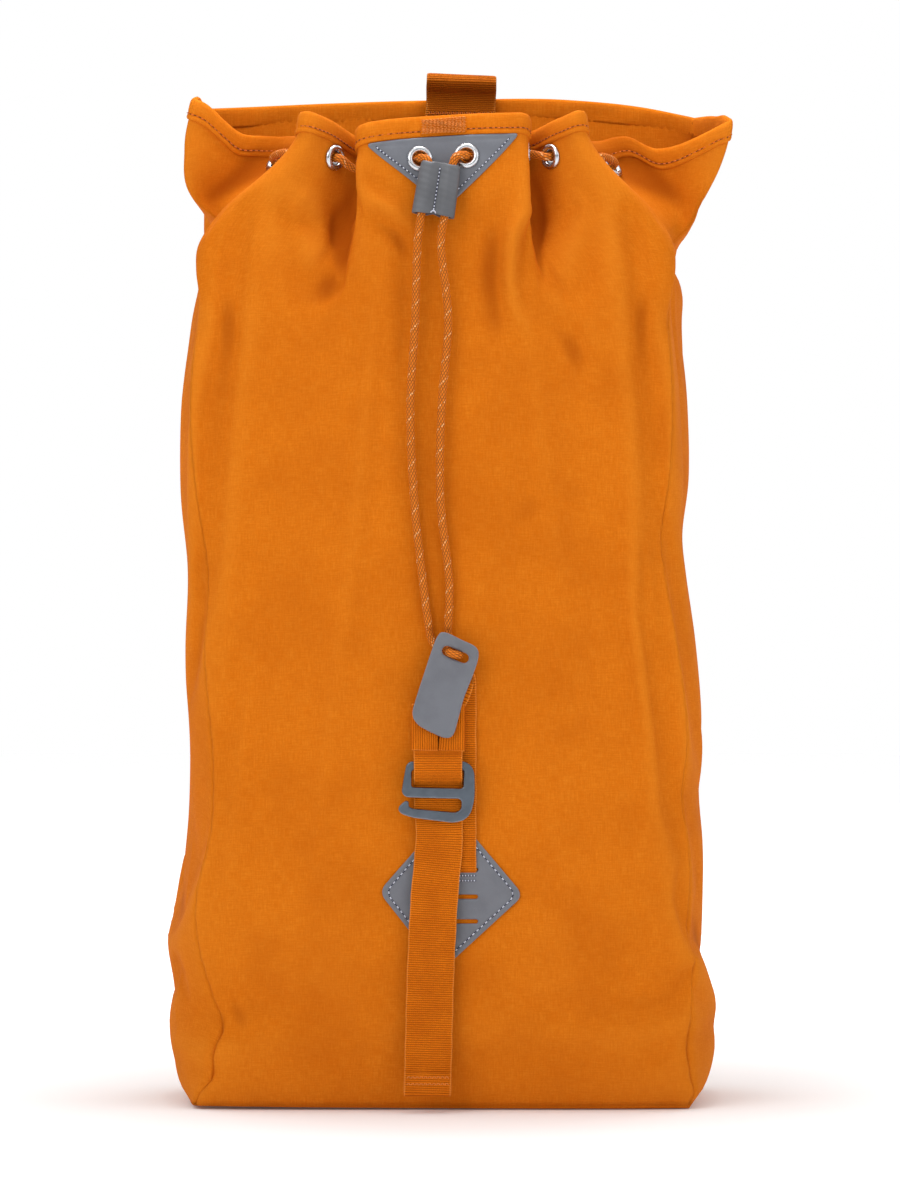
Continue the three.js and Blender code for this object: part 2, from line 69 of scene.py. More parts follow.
def follow(points, at):
    """Smooth curve through (position, value) points, read at any positions."""
    xs = np.array([p[0] for p in points], float)
    ys = np.array([p[1] for p in points], float)
    slopes = np.gradient(ys, xs)
    at = np.clip(np.asarray(at, float), xs[0], xs[-1])
    i = np.clip(np.searchsorted(xs, at) - 1, 0, len(xs) - 2)
    span = xs[i + 1] - xs[i]
    s = (at - xs[i]) / span
    return ((2 * s**3 - 3 * s**2 + 1) * ys[i] + (s**3 - 2 * s**2 + s) * span * slopes[i]
            + (3 * s**2 - 2 * s**3) * ys[i + 1] + (s**3 - s**2) * span * slopes[i + 1])


def unit(v):
    return v / np.maximum(np.linalg.norm(v, axis=-1, keepdims=True), 1e-12)


def vec(*v):
    return np.array(v, float)


def run_lengths(points):
    """Distance along a line at each of its points."""
    return np.concatenate([[0], np.cumsum(np.linalg.norm(np.diff(points, axis=0), axis=1))])


def read_line(values, lengths, at):
    """Values given at the points of a line, read at any distances along it."""
    return np.stack([np.interp(at, lengths, values[:, i]) for i in range(values.shape[1])], 1)


def even_places(total, count):
    return (np.arange(count) + 0.5) * total / count


# ---------------------------------------------------------------- the cloth surface, in millimetres

# Curves are lists of (position, value). A share t runs from -1 to 1 across a panel. The rim curves give the
# rim's height over t, PLEAT_X and PLEAT_Y the gathered front's shape over |t|. The rest go by height z.
RIM_FRONT = 518.0
FRONT_RIM = [(-1, 513), (-0.92, 518), (-0.82, 522), (-0.72, 519), (-0.6, 512), (-0.5, 510), (-0.4, 511.5),
             (-0.3, 514.4), (-0.2, 516.8), (0, 519.6), (0.2, 520.8), (0.3, 520.6), (0.4, 517), (0.5, 513.5),
             (0.6, 514), (0.72, 519), (0.82, 522.5), (0.92, 517), (1, 510)]
WING_RIM = {
    -1: [(-1, 513), (-0.85, 513.3), (-0.57, 514.4), (-0.385, 516), (-0.265, 522), (-0.1, 531), (0, 534),
         (0.15, 536), (0.5, 536), (1, 535)],
    1: [(-1, 510), (-0.83, 510.6), (-0.61, 514), (-0.45, 507.6), (-0.33, 508.5), (-0.15, 515), (0, 522.5),
        (0.4, 527), (1, 530)],
}
BACK_RIM = [(-1, 535), (-0.5, 538.5), (0, 540.5), (0.5, 540.5), (0.8, 536), (1, 530)]
FLAT_SHARE = 0.3
FLAT_WIDTH = 43.0
PLEAT_X = [(0, 0), (0.3, 43), (0.34, 44.6), (0.42, 43.6), (0.52, 43.4), (0.6, 48), (0.7, 58.5), (0.78, 68.5),
           (0.84, 74), (0.9, 73.2), (0.95, 70), (1, 66)]
PLEAT_Y = [(0, 0), (0.3, 0.6), (0.34, 3.5), (0.42, 15), (0.52, 28), (0.6, 26), (0.7, 11), (0.78, 1.5),
           (0.84, 5), (0.9, 15), (0.95, 24), (1, 33)]
SHOULDER_X = [(0, 0), (0.5, 0.53), (0.8, 0.9), (0.88, 0.985), (0.94, 1.01), (1, 0.98)]
SHOULDER = 430.0
GATHER_FOOT = (395, 449)
GATHER_TOP = (487, 519)
CORNER_INSET = {
    -1: [(0, 3), (5, 8), (11, 17), (30, 24), (42, 28), (60, 22), (100, 11), (160, 6), (560, 5)],
    1: [(0, 2), (6, 5), (11, 9), (25, 15), (45, 14), (80, 8), (140, 5), (560, 5)],
}
BACK_SEAM = {-1: -130.0, 1: 138.0}
FRONT_FACE = [(0, 67), (8, 71), (24, 76), (60, 79.6), (120, 80), (350, 80), (400, 76), (450, 70), (545, 58.8)]
BACK_FACE = [(0, 66), (10, 70), (50, 74), (360, 74), (545, 68)]
SIDE = {
    -1: [(0, -134), (6, -139), (22, -144), (63, -145), (115, -140), (150, -131), (180, -128), (241, -130),
         (288, -130), (330, -138), (375, -140), (403, -137), (432, -133), (444, -127), (457, -113),
         (467, -117), (480, -132), (508, -138), (540, -132)],
    1: [(0, 131), (6, 137), (20, 143), (40, 144), (90, 141), (145, 138), (165, 134), (193, 136), (245, 130),
        (283, 123), (300, 121), (335, 127), (379, 128), (415, 125), (438, 125), (452, 115), (463, 129),
        (480, 139), (500, 149), (524, 154), (545, 149)],
}


def front_y(z):
    return -follow(FRONT_FACE, z)


def corner_x(sign, z):
    return follow(SIDE[sign], np.minimum(z, SHOULDER)) - sign * follow(CORNER_INSET[sign], z)


def gathered(t, z):
    """How far the front is drawn together: 0 where it is open cloth, 1 at the pleated mouth."""
    outer = smoothstep(np.abs(t), 0.4, 0.85)
    start = mix(*GATHER_FOOT, outer)
    return smoothstep((z - start) / (mix(*GATHER_TOP, outer) - start), 0, 1)


def front_point(t, z):
    t, z = np.broadcast_arrays(np.asarray(t, float), np.asarray(z, float))
    share = np.abs(t)
    pull = gathered(t, z)
    spread = mix(share, follow(SHOULDER_X, share), smoothstep(z, 395, 445))
    open_x = spread * np.where(t < 0, corner_x(-1, z), corner_x(1, z))
    x = mix(open_x, np.sign(t) * follow(PLEAT_X, share), pull)
    corner = mix(6, 12, smoothstep(z, 4, 70)) + 18 * smoothstep(z, 385, 470)
    corner *= share ** mix(4, 7, smoothstep(z, 385, 470))
    y = front_y(z) + mix(corner, follow(PLEAT_Y, share), pull)
    return np.stack([x, y, z], -1)


def back_point(t, z):
    t, z = np.broadcast_arrays(np.asarray(t, float), np.asarray(z, float))
    pull = smoothstep(z, SHOULDER, RIM_FRONT)
    left = mix(corner_x(-1, z), BACK_SEAM[-1], pull)
    right = mix(corner_x(1, z), BACK_SEAM[1], pull)
    x = np.abs(t) * np.where(t < 0, left, right)
    return np.stack([x, follow(BACK_FACE, z) - 8 * t**4, z], -1)


def gusset_point(sign, t, z):
    t, z = np.broadcast_arrays(np.asarray(t, float), np.asarray(z, float))
    edge = np.where((t < 0)[..., None], front_point(float(sign), z), back_point(float(sign), z))
    middle = np.stack([follow(SIDE[sign], z), mix(0, -5, smoothstep(z, SHOULDER, RIM_FRONT)), z], -1)
    roundness = mix(3, 0.95, smoothstep(z, 440, 500))
    x = mix(middle[..., 0], edge[..., 0], np.abs(t) ** roundness)
    y = mix(middle[..., 1], edge[..., 1], np.abs(t))
    hollow = np.where(t < 0, np.sin(math.pi * np.clip(-t, 0, 1) ** 1.6), 0) * smoothstep(z, 420, 485)
    return np.stack([x, y + 20 * hollow, z], -1)


def rim_height(panel, t):
    if panel == "front":
        return follow(FRONT_RIM, t)
    if panel == "back":
        return follow(BACK_RIM, t)
    return follow(WING_RIM[-1 if panel == "left" else 1], t)


def panel_point(panel, t, z):
    if panel == "front":
        return front_point(t, z)
    if panel == "back":
        return back_point(t, z)
    return gusset_point(-1 if panel == "left" else 1, t, z)


# The cloth runs once round: front from left to right, right gusset, back, left gusset.
FRONT_COLUMNS = 96
GUSSET_COLUMNS = 36
PANELS = {"front": (FRONT_COLUMNS, 1), "right": (GUSSET_COLUMNS, 1),
          "back": (FRONT_COLUMNS, -1), "left": (GUSSET_COLUMNS, -1)}
ROWS = 92
ROW_BUNCH = 1.2
FLOOR = 0.6


def column_layout():
    """(panel, t) of each column round the loop, and the first column of each panel."""
    layout = []
    starts = {}
    for panel, (count, way) in PANELS.items():
        starts[panel] = len(layout)
        layout += [(panel, way * (2 * i / count - 1)) for i in range(count)]
    return layout, starts


LAYOUT, STARTS = column_layout()
LOOP = len(LAYOUT)


def loop_shell():
    """Rest shape of the cloth: LOOP columns by ROWS + 1 rows of points, closer together near the rim."""
    rise = 1 - (1 - np.linspace(0, 1, ROWS + 1)) ** ROW_BUNCH
    shell = np.zeros((LOOP, ROWS + 1, 3))
    for i, (panel, t) in enumerate(LAYOUT):
        top = float(rim_height(panel, np.array(t)))
        shell[i] = panel_point(panel, t, mix(FLOOR, top, rise))
    return shell


def grid_normals(points, wrap):
    """Outward normals of a grid that runs anticlockwise seen from above, rows going up."""
    if wrap:
        across = np.roll(points, -1, 0) - np.roll(points, 1, 0)
    else:
        across = np.gradient(points, axis=0)
    up = np.gradient(points, axis=1)
    return unit(np.cross(across, up))


# ---------------------------------------------------------------- meshes


def in_scene(name, mesh, smooth=True):
    obj = bpy.data.objects.new(name, mesh)
    bpy.context.scene.collection.objects.link(obj)
    mesh.polygons.foreach_set("use_smooth", [smooth] * len(mesh.polygons))
    return obj


def new_object(name, points, faces, material, smooth=True):
    """An object from points in millimetres."""
    mesh = bpy.data.meshes.new(name)
    points = [tuple(p) for p in np.asarray(points) * MM]
    mesh.from_pydata(points, [], [tuple(int(i) for i in f) for f in faces])
    mesh.update()
    if material is not None:
        mesh.materials.append(material)
    return in_scene(name, mesh, smooth)


def ring_faces(rings, around):
    """Faces of a closed ring of closed outlines."""
    ids = np.arange(rings * around).reshape(rings, around)
    nxt = np.roll(ids, -1, 0)
    return np.stack([ids, nxt, np.roll(nxt, -1, 1), np.roll(ids, -1, 1)], -1).reshape(-1, 4)


def tube_faces(count, around):
    """Faces of a tube of closed outlines, and its two end caps."""
    ids = np.arange(count * around).reshape(count, around)
    nxt = np.roll(ids, -1, 1)
    faces = np.stack([ids[:-1], nxt[:-1], nxt[1:], ids[1:]], -1).reshape(-1, 4)
    return faces.tolist() + [ids[0][::-1].tolist(), ids[-1].tolist()]


def mark(obj, name, values):
    """A number at each vertex, which the materials read."""
    attribute = obj.data.attributes.new(name, "FLOAT", "POINT")
    attribute.data.foreach_set("value", np.asarray(values, np.float32))


def lay_uv(obj, uv):
    """UVs in metres, given for each vertex."""
    layer = obj.data.uv_layers.new(name="cloth")
    loops = np.zeros(len(obj.data.loops), np.int32)
    obj.data.loops.foreach_get("vertex_index", loops)
    layer.data.foreach_set("uv", np.asarray(uv, np.float32)[loops].ravel())


def belongs(obj, body, slot, *nodes):
    """Puts a piece on its body, in the place of the nodes it shows; its material slot is not used."""
    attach(obj, body)
    if nodes:
        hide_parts(*nodes)


def bends(obj, node, slot, *ends):
    """Hides the node that a piece between two bodies stands for, and bakes the piece's placement; its slot,
    the two bodies and the place on each where it stops bending are not used.
    """
    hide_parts(node)
    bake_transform(obj)


def base_grid(shell):
    """Points inside the bottom ring, joining the front and back columns."""
    foot = np.concatenate([shell[:, 0], shell[:1, 0]])
    front, right, back, left = (foot[STARTS[p]:STARTS[p] + count + 1] for p, (count, _) in PANELS.items())
    back, left = back[::-1], left[::-1]
    u = np.linspace(0, 1, FRONT_COLUMNS + 1)[:, None, None]
    v = np.linspace(0, 1, GUSSET_COLUMNS + 1)[None, :, None]
    corners = ((1 - u) * (1 - v) * front[0] + u * (1 - v) * front[-1]
               + (1 - u) * v * back[0] + u * v * back[-1])
    return ((1 - v) * front[:, None] + v * back[:, None] + (1 - u) * left[None] + u * right[None] - corners)


# ---------------------------------------------------------------- cloth simulation

SIM_FRAMES = 16
SIM_CAP = 9.0
SWELL = 0.3
WRINKLE = 0.7
CLOTH_SETTINGS = {"quality": 5, "mass": 0.25, "tension_stiffness": 18, "compression_stiffness": 18,
                  "shear_stiffness": 8, "bending_stiffness": 1.5, "tension_damping": 8,
                  "compression_damping": 8, "use_pressure": True, "uniform_pressure_force": 2.2,
                  "vertex_group_mass": "hold", "pin_stiffness": 2.0, "shrink_min": -0.018}
LOW_GRAVITY = 0.25
STRAP_CALM = 0.85


def soften(field, passes=60):
    """Blurs a field over the cloth, which leaves the slow swelling and drops the wrinkles."""
    for _ in range(passes):
        field = (field + np.roll(field, 3, 0) + np.roll(field, -3, 0)) / 3
        low = np.concatenate([field[:, :1]] * 2 + [field[:, :-2]], 1)
        high = np.concatenate([field[:, 2:]] + [field[:, -1:]] * 2, 1)
        field = (field + low + high) / 3
    return field


def run_cloth(shell, hold):
    """Runs the cloth modifier on a shell held by the given weights, and reads back its points."""
    ids = np.arange(LOOP * (ROWS + 1)).reshape(LOOP, ROWS + 1)
    nxt = np.roll(ids, -1, 0)
    faces = np.stack([ids[:, :-1], nxt[:, :-1], nxt[:, 1:], ids[:, 1:]], -1).reshape(-1, 4)
    obj = new_object("cloth_sim", shell.reshape(-1, 3), faces, None)
    group = obj.vertex_groups.new(name="hold")
    for i, weight in enumerate(hold.ravel()):
        group.add([i], float(weight), "REPLACE")
    modifier = obj.modifiers.new("settle", "CLOTH")
    for name, value in CLOTH_SETTINGS.items():
        setattr(modifier.settings, name, value)
    modifier.settings.effector_weights.gravity = LOW_GRAVITY
    modifier.collision_settings.use_collision = False
    scene = bpy.context.scene
    scene.frame_start, scene.frame_end = 1, SIM_FRAMES
    modifier.point_cache.frame_start, modifier.point_cache.frame_end = 1, SIM_FRAMES
    for step in range(1, SIM_FRAMES + 1):
        scene.frame_set(step)
    evaluated = obj.evaluated_get(bpy.context.evaluated_depsgraph_get())
    co = np.zeros(len(obj.data.vertices) * 3)
    evaluated.data.vertices.foreach_get("co", co)
    bpy.data.objects.remove(obj)
    scene.frame_set(1)
    return co.reshape(shell.shape) / MM


def simulate(shell):
    """Lets the cloth bulge and buckle between its gathered rim and its base: the settled shell."""
    depth = np.array([float(rim_height(p, np.array(t))) for p, t in LAYOUT])[:, None] - shell[..., 2]
    hold = 1 - smoothstep(depth, 26, 60)
    hold = np.maximum(hold, 1 - smoothstep(shell[..., 2], 4, 30))
    settled = run_cloth(shell, hold)
    moved = (settled - shell) * (smoothstep(shell[..., 2], 8, 110) * smoothstep(depth, 14, 40))[..., None]
    swell = soften(moved)
    moved = SWELL * swell + WRINKLE * (moved - swell)
    length = np.linalg.norm(moved, axis=-1, keepdims=True)
    moved *= SIM_CAP * np.tanh(length / SIM_CAP) / np.maximum(length, 1e-9)
    x, y, z = shell[..., 0], shell[..., 1], shell[..., 2]
    strip = (1 - smoothstep(np.abs(x), 22, 60)) * smoothstep(z, 20, 60) * (1 - smoothstep(z, 260, 330))
    return shell + moved * (1 - STRAP_CALM * strip * (y < 0))[..., None]


# ---------------------------------------------------------------- finer cloth, creases and seams

CLOTH = 1.1


def between(points, axis, wrap):
    """Points halfway along an axis, by a four-point curve."""
    points = np.moveaxis(points, axis, 0)
    if wrap:
        before, after, beyond = (np.roll(points, shift, 0) for shift in (1, -1, -2))
        middle = (-before + 9 * points + 9 * after - beyond) / 16
    else:
        padded = np.concatenate([2 * points[:1] - points[1:2], points, 2 * points[-1:] - points[-2:-1]])
        middle = (-padded[:-3] + 9 * padded[1:-2] + 9 * padded[2:-1] - padded[3:]) / 16
    count = len(points) + len(middle)
    result = np.zeros((count,) + points.shape[1:])
    result[0::2] = points
    result[1::2] = middle
    return np.moveaxis(result, 0, axis)


def refine(shell):
    return between(between(shell, 0, True), 1, False)


def along_line(x, z, line):
    """Distance of each point from a bent line, and its share of the way along."""
    line = np.array(line, float)
    best = np.full(x.shape, 1e9)
    share = np.zeros(x.shape)
    lengths = np.linalg.norm(np.diff(line, axis=0), axis=1)
    total = lengths.sum()
    done = 0.0
    for a, b, length in zip(line[:-1], line[1:], lengths):
        s = np.clip(((x - a[0]) * (b[0] - a[0]) + (z - a[1]) * (b[1] - a[1])) / length**2, 0, 1)
        distance = np.hypot(x - a[0] - s * (b[0] - a[0]), z - a[1] - s * (b[1] - a[1]))
        nearer = distance < best
        best = np.where(nearer, distance, best)
        share = np.where(nearer, (done + s * length) / total, share)
        done += length
    return best, share


# Creases on the front: (line of (x, z) points, half-width, height out of the cloth)
CREASES = [
    ([(-22, 466), (-20, 435), (-21, 400), (-24, 372)], 6, -2.6),
    ([(-50, 478), (-55, 458), (-61, 440), (-64, 424)], 7, -2.8),
    ([(41, 478), (36, 462), (34, 438), (36, 420), (42, 408)], 6, 2.4),
    ([(45, 500), (43, 484), (44, 470), (37, 458), (35, 440), (36, 424), (41, 412)], 4.5, 2.6),
    ([(50, 486), (50, 468), (44, 452), (42, 436), (44, 420)], 5, -2.6),
    ([(-44, 500), (-45, 486), (-43, 478)], 4, 2.2),
    ([(-42, 477), (-30, 472), (-17, 462), (-12, 452)], 3.5, 2.0),
    ([(-46, 470), (-38, 466), (-26, 458), (-18, 448)], 4.5, -2.2),
    ([(30, 474), (26, 455), (25, 430), (29, 405)], 6, -2.4),
    ([(54, 420), (66, 402), (76, 385)], 8, -2.2),
    ([(60, 428), (73, 410), (84, 392)], 8, 1.8),
    ([(-92, 474), (-78, 466), (-62, 461)], 5, -1.8),
    ([(-44, 489), (-28, 481), (-16, 477)], 4, -1.4),
    ([(24, 303), (52, 318), (76, 328)], 9, -1.4),
    ([(-86, 428), (-70, 432), (-34, 428)], 7, -1.0),
    ([(-6, 462), (-6, 400), (-3, 320)], 8, -1.8),
    ([(14, 470), (19, 440), (21, 405), (17, 370)], 11, -2.8),
    ([(-111, 64), (-109, 52), (-107, 41)], 5, -1.3),
    ([(-85, 485), (-73, 477), (-64, 465), (-59, 450)], 4.5, 2.2),
    ([(-58, 474), (-56.5, 463), (-57, 444)], 3.6, -2.4),
    ([(-49, 470), (-51, 460), (-53, 448)], 3.6, 1.6),
    ([(122, 42), (118, 34), (104, 26)], 5, -1.6),
    ([(84, 478), (96, 462), (104, 440)], 7, -2.0),
    ([(-106, 470), (-112, 450), (-116, 428)], 7, -1.8),
]


def press_creases(shell, normals):
    """Adds the sharp creases that the front has, on the settled cloth."""
    x, z = shell[..., 0], shell[..., 2]
    front = smoothstep(-normals[..., 1], 0.2, 0.5) * (shell[..., 1] < 0)
    push = np.zeros(x.shape)
    for line, width, height in CREASES:
        distance, share = along_line(x, z, line)
        taper = np.sin(np.pi * np.clip(share * 0.9 + 0.05, 0, 1)) ** 0.7
        push += height * taper * np.exp(-((distance / width) ** 2))
    return shell + normals * (push * front)[..., None]


SEAM_DEPTH = 0.9
LOW_SEAM_DEPTH = 1.8
SEAM_WIDTH = 1.1
SEAM_PUCKER = 0.35
BROAD_FOLD = 0.12


def press_seams(shell, normals):
    """Pulls the cloth in along the four upright seams and puckers it beside them."""
    pressed = shell.copy()
    wave = np.sin(np.arange(shell.shape[1]) * 1.7)
    for start in STARTS.values():
        for offset in range(-3, 4):
            column = (2 * start + offset) % len(shell)
            pucker = 1 + SEAM_PUCKER * wave * math.cos(offset)
            low = 1 - smoothstep(shell[column, :, 2], 30, 60)
            depth = (SEAM_DEPTH + LOW_SEAM_DEPTH * low) * math.exp(-((offset / SEAM_WIDTH) ** 2)) * pucker
            pressed[column] -= normals[column] * depth[:, None]
    return pressed


def hollow_at(shell, normals, reach):
    """Depth of each point below the mean of its neighbours at a reach, along the normal."""
    around = (np.roll(shell, reach, 0) + np.roll(shell, -reach, 0)) / 2
    up = np.concatenate([shell[:, reach:], np.repeat(shell[:, -1:], reach, 1)], 1)
    down = np.concatenate([np.repeat(shell[:, :1], reach, 1), shell[:, :-reach]], 1)
    return (((around + (up + down) / 2) / 2 - shell) * normals).sum(-1)


def fold_measure(shell, normals, passes=6):
    """How hollow the cloth is at each point: above 0 in a valley, below 0 on a crest."""
    value = hollow_at(shell, normals, 3) + BROAD_FOLD * np.clip(hollow_at(shell, normals, 14), -4, 8)
    for _ in range(passes):
        value = (value * 2 + np.roll(value, 1, 0) + np.roll(value, -1, 0)) / 4
        value[:, 1:-1] = (2 * value[:, 1:-1] + value[:, 2:] + value[:, :-2]) / 4
    return value


def sheet(name, outer, normals, thickness, material, fold=None, kept=None):
    """A closed cloth sheet from a grid of outer points, with cells left out; its UVs are in metres."""
    columns, rows = outer.shape[:2]
    if kept is None:
        kept = np.ones((columns - 1, rows - 1), bool)
    inner = outer - normals * thickness
    points = np.concatenate([outer.reshape(-1, 3), inner.reshape(-1, 3)])
    ids = np.arange(columns * rows).reshape(columns, rows)
    low = ids + columns * rows
    quads = np.stack([ids[:-1, :-1], ids[1:, :-1], ids[1:, 1:], ids[:-1, 1:]], -1)
    back = np.stack([low[:-1, :-1], low[:-1, 1:], low[1:, 1:], low[1:, :-1]], -1)
    framed = np.pad(kept, 1)
    walls = []
    sides = [(framed[1:-1, :-2], 0, 1), (framed[2:, 1:-1], 1, 2),
             (framed[1:-1, 2:], 2, 3), (framed[:-2, 1:-1], 3, 0)]
    for beyond, start, end in sides:
        open_edge = kept & ~beyond
        a, b = quads[open_edge][:, start], quads[open_edge][:, end]
        walls.append(np.stack([a, a + columns * rows, b + columns * rows, b], -1))
    faces = np.concatenate([quads[kept], back[kept]] + walls)
    used, faces = np.unique(faces, return_inverse=True)
    faces = faces.reshape(-1, 4)
    obj = new_object(name, points[used], faces, material)
    along = np.zeros((columns, rows))
    along[1:] = np.cumsum(np.linalg.norm(np.diff(outer, axis=0), axis=-1), 0)
    along -= along[columns // 2]
    height = np.zeros((columns, rows))
    height[:, 1:] = np.cumsum(np.linalg.norm(np.diff(outer, axis=1), axis=-1), 1)
    uv = np.stack([along, height], -1).reshape(-1, 2) * MM
    lay_uv(obj, np.concatenate([uv, uv])[used])
    # The fold mark carries the canvas's painted fold shade and crest highlight; the inner face takes it
    # reversed.
    values = np.zeros(columns * rows) if fold is None else fold.reshape(-1)
    mark(obj, "fold", np.concatenate([values, -values])[used])
    return obj


# ---------------------------------------------------------------- materials


def srgb(r, g, b):
    """Linear colour of an ordinary 0 to 255 one."""
    linear = [((c / 255 + 0.055) / 1.055) ** 2.4 if c > 10 else c / 255 / 12.92 for c in (r, g, b)]
    return tuple(linear) + (1.0,)


def tinted(color, gain):
    return tuple(c * gain for c in color[:3]) + (1,)


class Shader:
    """A short way to write a node material around one Principled shader."""

    def __init__(self, name, roughness=0.8, specular=None, metallic=0.0):
        self.material = bpy.data.materials.new(name)
        self.material.use_nodes = True
        self.tree = self.material.node_tree
        self.surface = next(n for n in self.tree.nodes if n.type == "BSDF_PRINCIPLED")
        self.surface.inputs["Roughness"].default_value = roughness
        self.surface.inputs["Metallic"].default_value = metallic
        if specular is not None:
            self.surface.inputs["Specular IOR Level"].default_value = specular

    def put(self, socket, value):
        """Links or sets a socket."""
        if isinstance(value, bpy.types.NodeSocket):
            self.tree.links.new(value, socket)
        else:
            socket.default_value = value

    def add(self, kind, settings=(), **inputs):
        node = self.tree.nodes.new(kind)
        for key, value in dict(settings).items():
            setattr(node, key, value)
        for key, value in inputs.items():
            self.put(node.inputs[key.replace("_", " ")], value)
        return node

    def math(self, operation, a, b=0.0):
        node = self.add("ShaderNodeMath", {"operation": operation})
        self.put(node.inputs[0], a)
        self.put(node.inputs[1], b)
        return node.outputs[0]

    def place(self, stretch=(1, 1, 1), uv=False):
        """Where a point of the surface is, in metres: in the object, or along the cloth."""
        if uv:
            where = self.add("ShaderNodeUVMap", {"uv_map": "cloth"}).outputs[0]
        else:
            where = self.add("ShaderNodeTexCoord").outputs["Object"]
        scaled = self.add("ShaderNodeVectorMath", {"operation": "MULTIPLY"})
        self.put(scaled.inputs[0], where)
        self.put(scaled.inputs[1], stretch)
        return scaled.outputs[0]

    def noise(self, vector, scale, detail=3.0, rough=0.5):
        node = self.add("ShaderNodeTexNoise", Vector=vector, Scale=scale, Detail=detail, Roughness=rough)
        return node.outputs["Fac"]

    def band(self, value, low, high, start=0.0, end=1.0):
        """Goes softly from start to end as the value goes from low to high."""
        node = self.add("ShaderNodeMapRange", {"interpolation_type": "SMOOTHSTEP"})
        for index, item in enumerate((value, low, high, start, end)):
            self.put(node.inputs[index], item)
        return node.outputs[0]

    def blend(self, share, a, b):
        node = self.add("ShaderNodeMix", {"data_type": "RGBA"})
        self.put(node.inputs[0], share)
        self.put(node.inputs[6], a)
        self.put(node.inputs[7], b)
        return node.outputs[2]

    def tint(self, tone, color, value, low, high, start=0.0, end=1.0):
        """Blends a colour into a tone where the value lies between low and high."""
        return self.blend(self.band(value, low, high, start, end), tone, color)

    def total(self, *terms):
        """Sum of (value, weight) terms."""
        parts = [self.math("MULTIPLY", value, weight) for value, weight in terms]
        result = parts[0]
        for part in parts[1:]:
            result = self.math("ADD", result, part)
        return result

    def attribute(self, name):
        return self.add("ShaderNodeAttribute", {"attribute_name": name}).outputs["Fac"]

    def split(self, vector):
        return self.add("ShaderNodeSeparateXYZ", Vector=vector).outputs

    def wave(self, value, factor):
        return self.math("SINE", self.math("MULTIPLY", value, factor))

    def weave(self, vector, pitch):
        """Height of a plain weave: threads each way, over and under."""
        u, v, _ = self.split(vector)
        turn = 2 * math.pi / pitch
        return self.math("ABSOLUTE", self.math("MULTIPLY", self.wave(u, turn), self.wave(v, turn)))

    def finish(self, color, height=None, distance=0.0002, strength=1.0, roughness=None):
        self.put(self.surface.inputs["Base Color"], color)
        if roughness is not None:
            self.put(self.surface.inputs["Roughness"], roughness)
        if height is not None:
            bump = self.add("ShaderNodeBump", Height=height, Distance=distance, Strength=strength)
            self.put(self.surface.inputs["Normal"], bump.outputs[0])
        return self.material


CANVAS_MID = srgb(204, 106, 13)
CANVAS_LIGHT = srgb(220, 130, 34)
CANVAS_DARK = srgb(166, 74, 4)
THREAD_PITCH = 1.1 * MM


def canvas_material():
    """Waxed canvas: a plain weave with slubs each way, darker in its folds by painted shade and paler on its
    crests by a painted highlight.
    """
    s = Shader("waxed_canvas", 0.85, 0.04)
    weave = s.weave(s.place(uv=True), THREAD_PITCH)
    slubs = [s.noise(s.place(stretch, True), 130, 3) for stretch in ((1, 16, 1), (16, 1, 1))]
    slubs = s.math("ADD", *slubs)
    mottle = s.noise(s.place(), 22, 4, 0.6)
    grain = s.noise(s.place(), 900, 3, 0.7)
    fold = s.attribute("fold")
    tone = s.tint(CANVAS_MID, CANVAS_LIGHT, slubs, 0.8, 1.3, 0.0, 0.55)
    tone = s.tint(tone, CANVAS_DARK, mottle, 0.35, 0.75, 0.0, 0.28)
    tone = s.tint(tone, CANVAS_DARK, grain, 0.3, 0.75, 0.0, 0.22)
    # Painted shade in the folds and a painted highlight on the crests, both read from the fold mark.
    tone = s.tint(tone, srgb(150, 64, 3), fold, 0.1, 1.3, 0.0, 0.75)
    tone = s.tint(tone, CANVAS_LIGHT, fold, -0.1, -1.4, 0.0, 0.35)
    height = s.total((weave, 0.55), (slubs, 0.5), (grain, 0.6))
    return s.finish(tone, height, 0.00022, 0.7, s.band(grain, 0.2, 0.8, 0.78, 0.95))


# ---------------------------------------------------------------- eyelet places

# Depth of each kind of eyelet below the rim; then its panel, share t, and the thickness it is set on.
EYELET_DROP = {"patch": 21.6, "pleat": 14.5, "fold": 17.0, "flank": 15.0, "wing": 13.5}
LEFT_PLEAT_DROP = 2.5
EYELET_HOLE = 3.4
LEATHER = 1.6
EYELETS = {}
for side, sign in (("left", -1), ("right", 1)):
    EYELETS[f"patch_{side}"] = ("front", sign * 0.077, LEATHER + 0.35)
    EYELETS[f"pleat_{side}"] = ("front", sign * 0.425, 0.0)
    EYELETS[f"fold_{side}"] = ("front", sign * 0.675, 0.0)
    EYELETS[f"flank_{side}"] = ("front", sign * 0.96, 0.0)
    EYELETS[f"wing_{side}"] = (side, -0.8 if sign < 0 else -0.84, 0.5)


def eyelet_frame(name):
    """Centre on the cloth and outward normal of an eyelet."""
    panel, t, _ = EYELETS[name]
    z = float(rim_height(panel, np.array(t))) - EYELET_DROP[name.split("_")[0]]
    z -= LEFT_PLEAT_DROP * (name == "pleat_left")
    facing = -1 if panel == "left" else 1
    across = panel_point(panel, t + 0.004, z) - panel_point(panel, t - 0.004, z)
    up = panel_point(panel, t, z + 1) - panel_point(panel, t, z - 1)
    return panel_point(panel, t, z), facing * unit(np.cross(across, up))


# ---------------------------------------------------------------- the cloth panels

CANVAS = canvas_material()
PANEL_NODES = {"front": "front_panel", "right": "right_gusset", "back": "back_panel", "left": "left_gusset"}
WAIST_CALM = 0.85


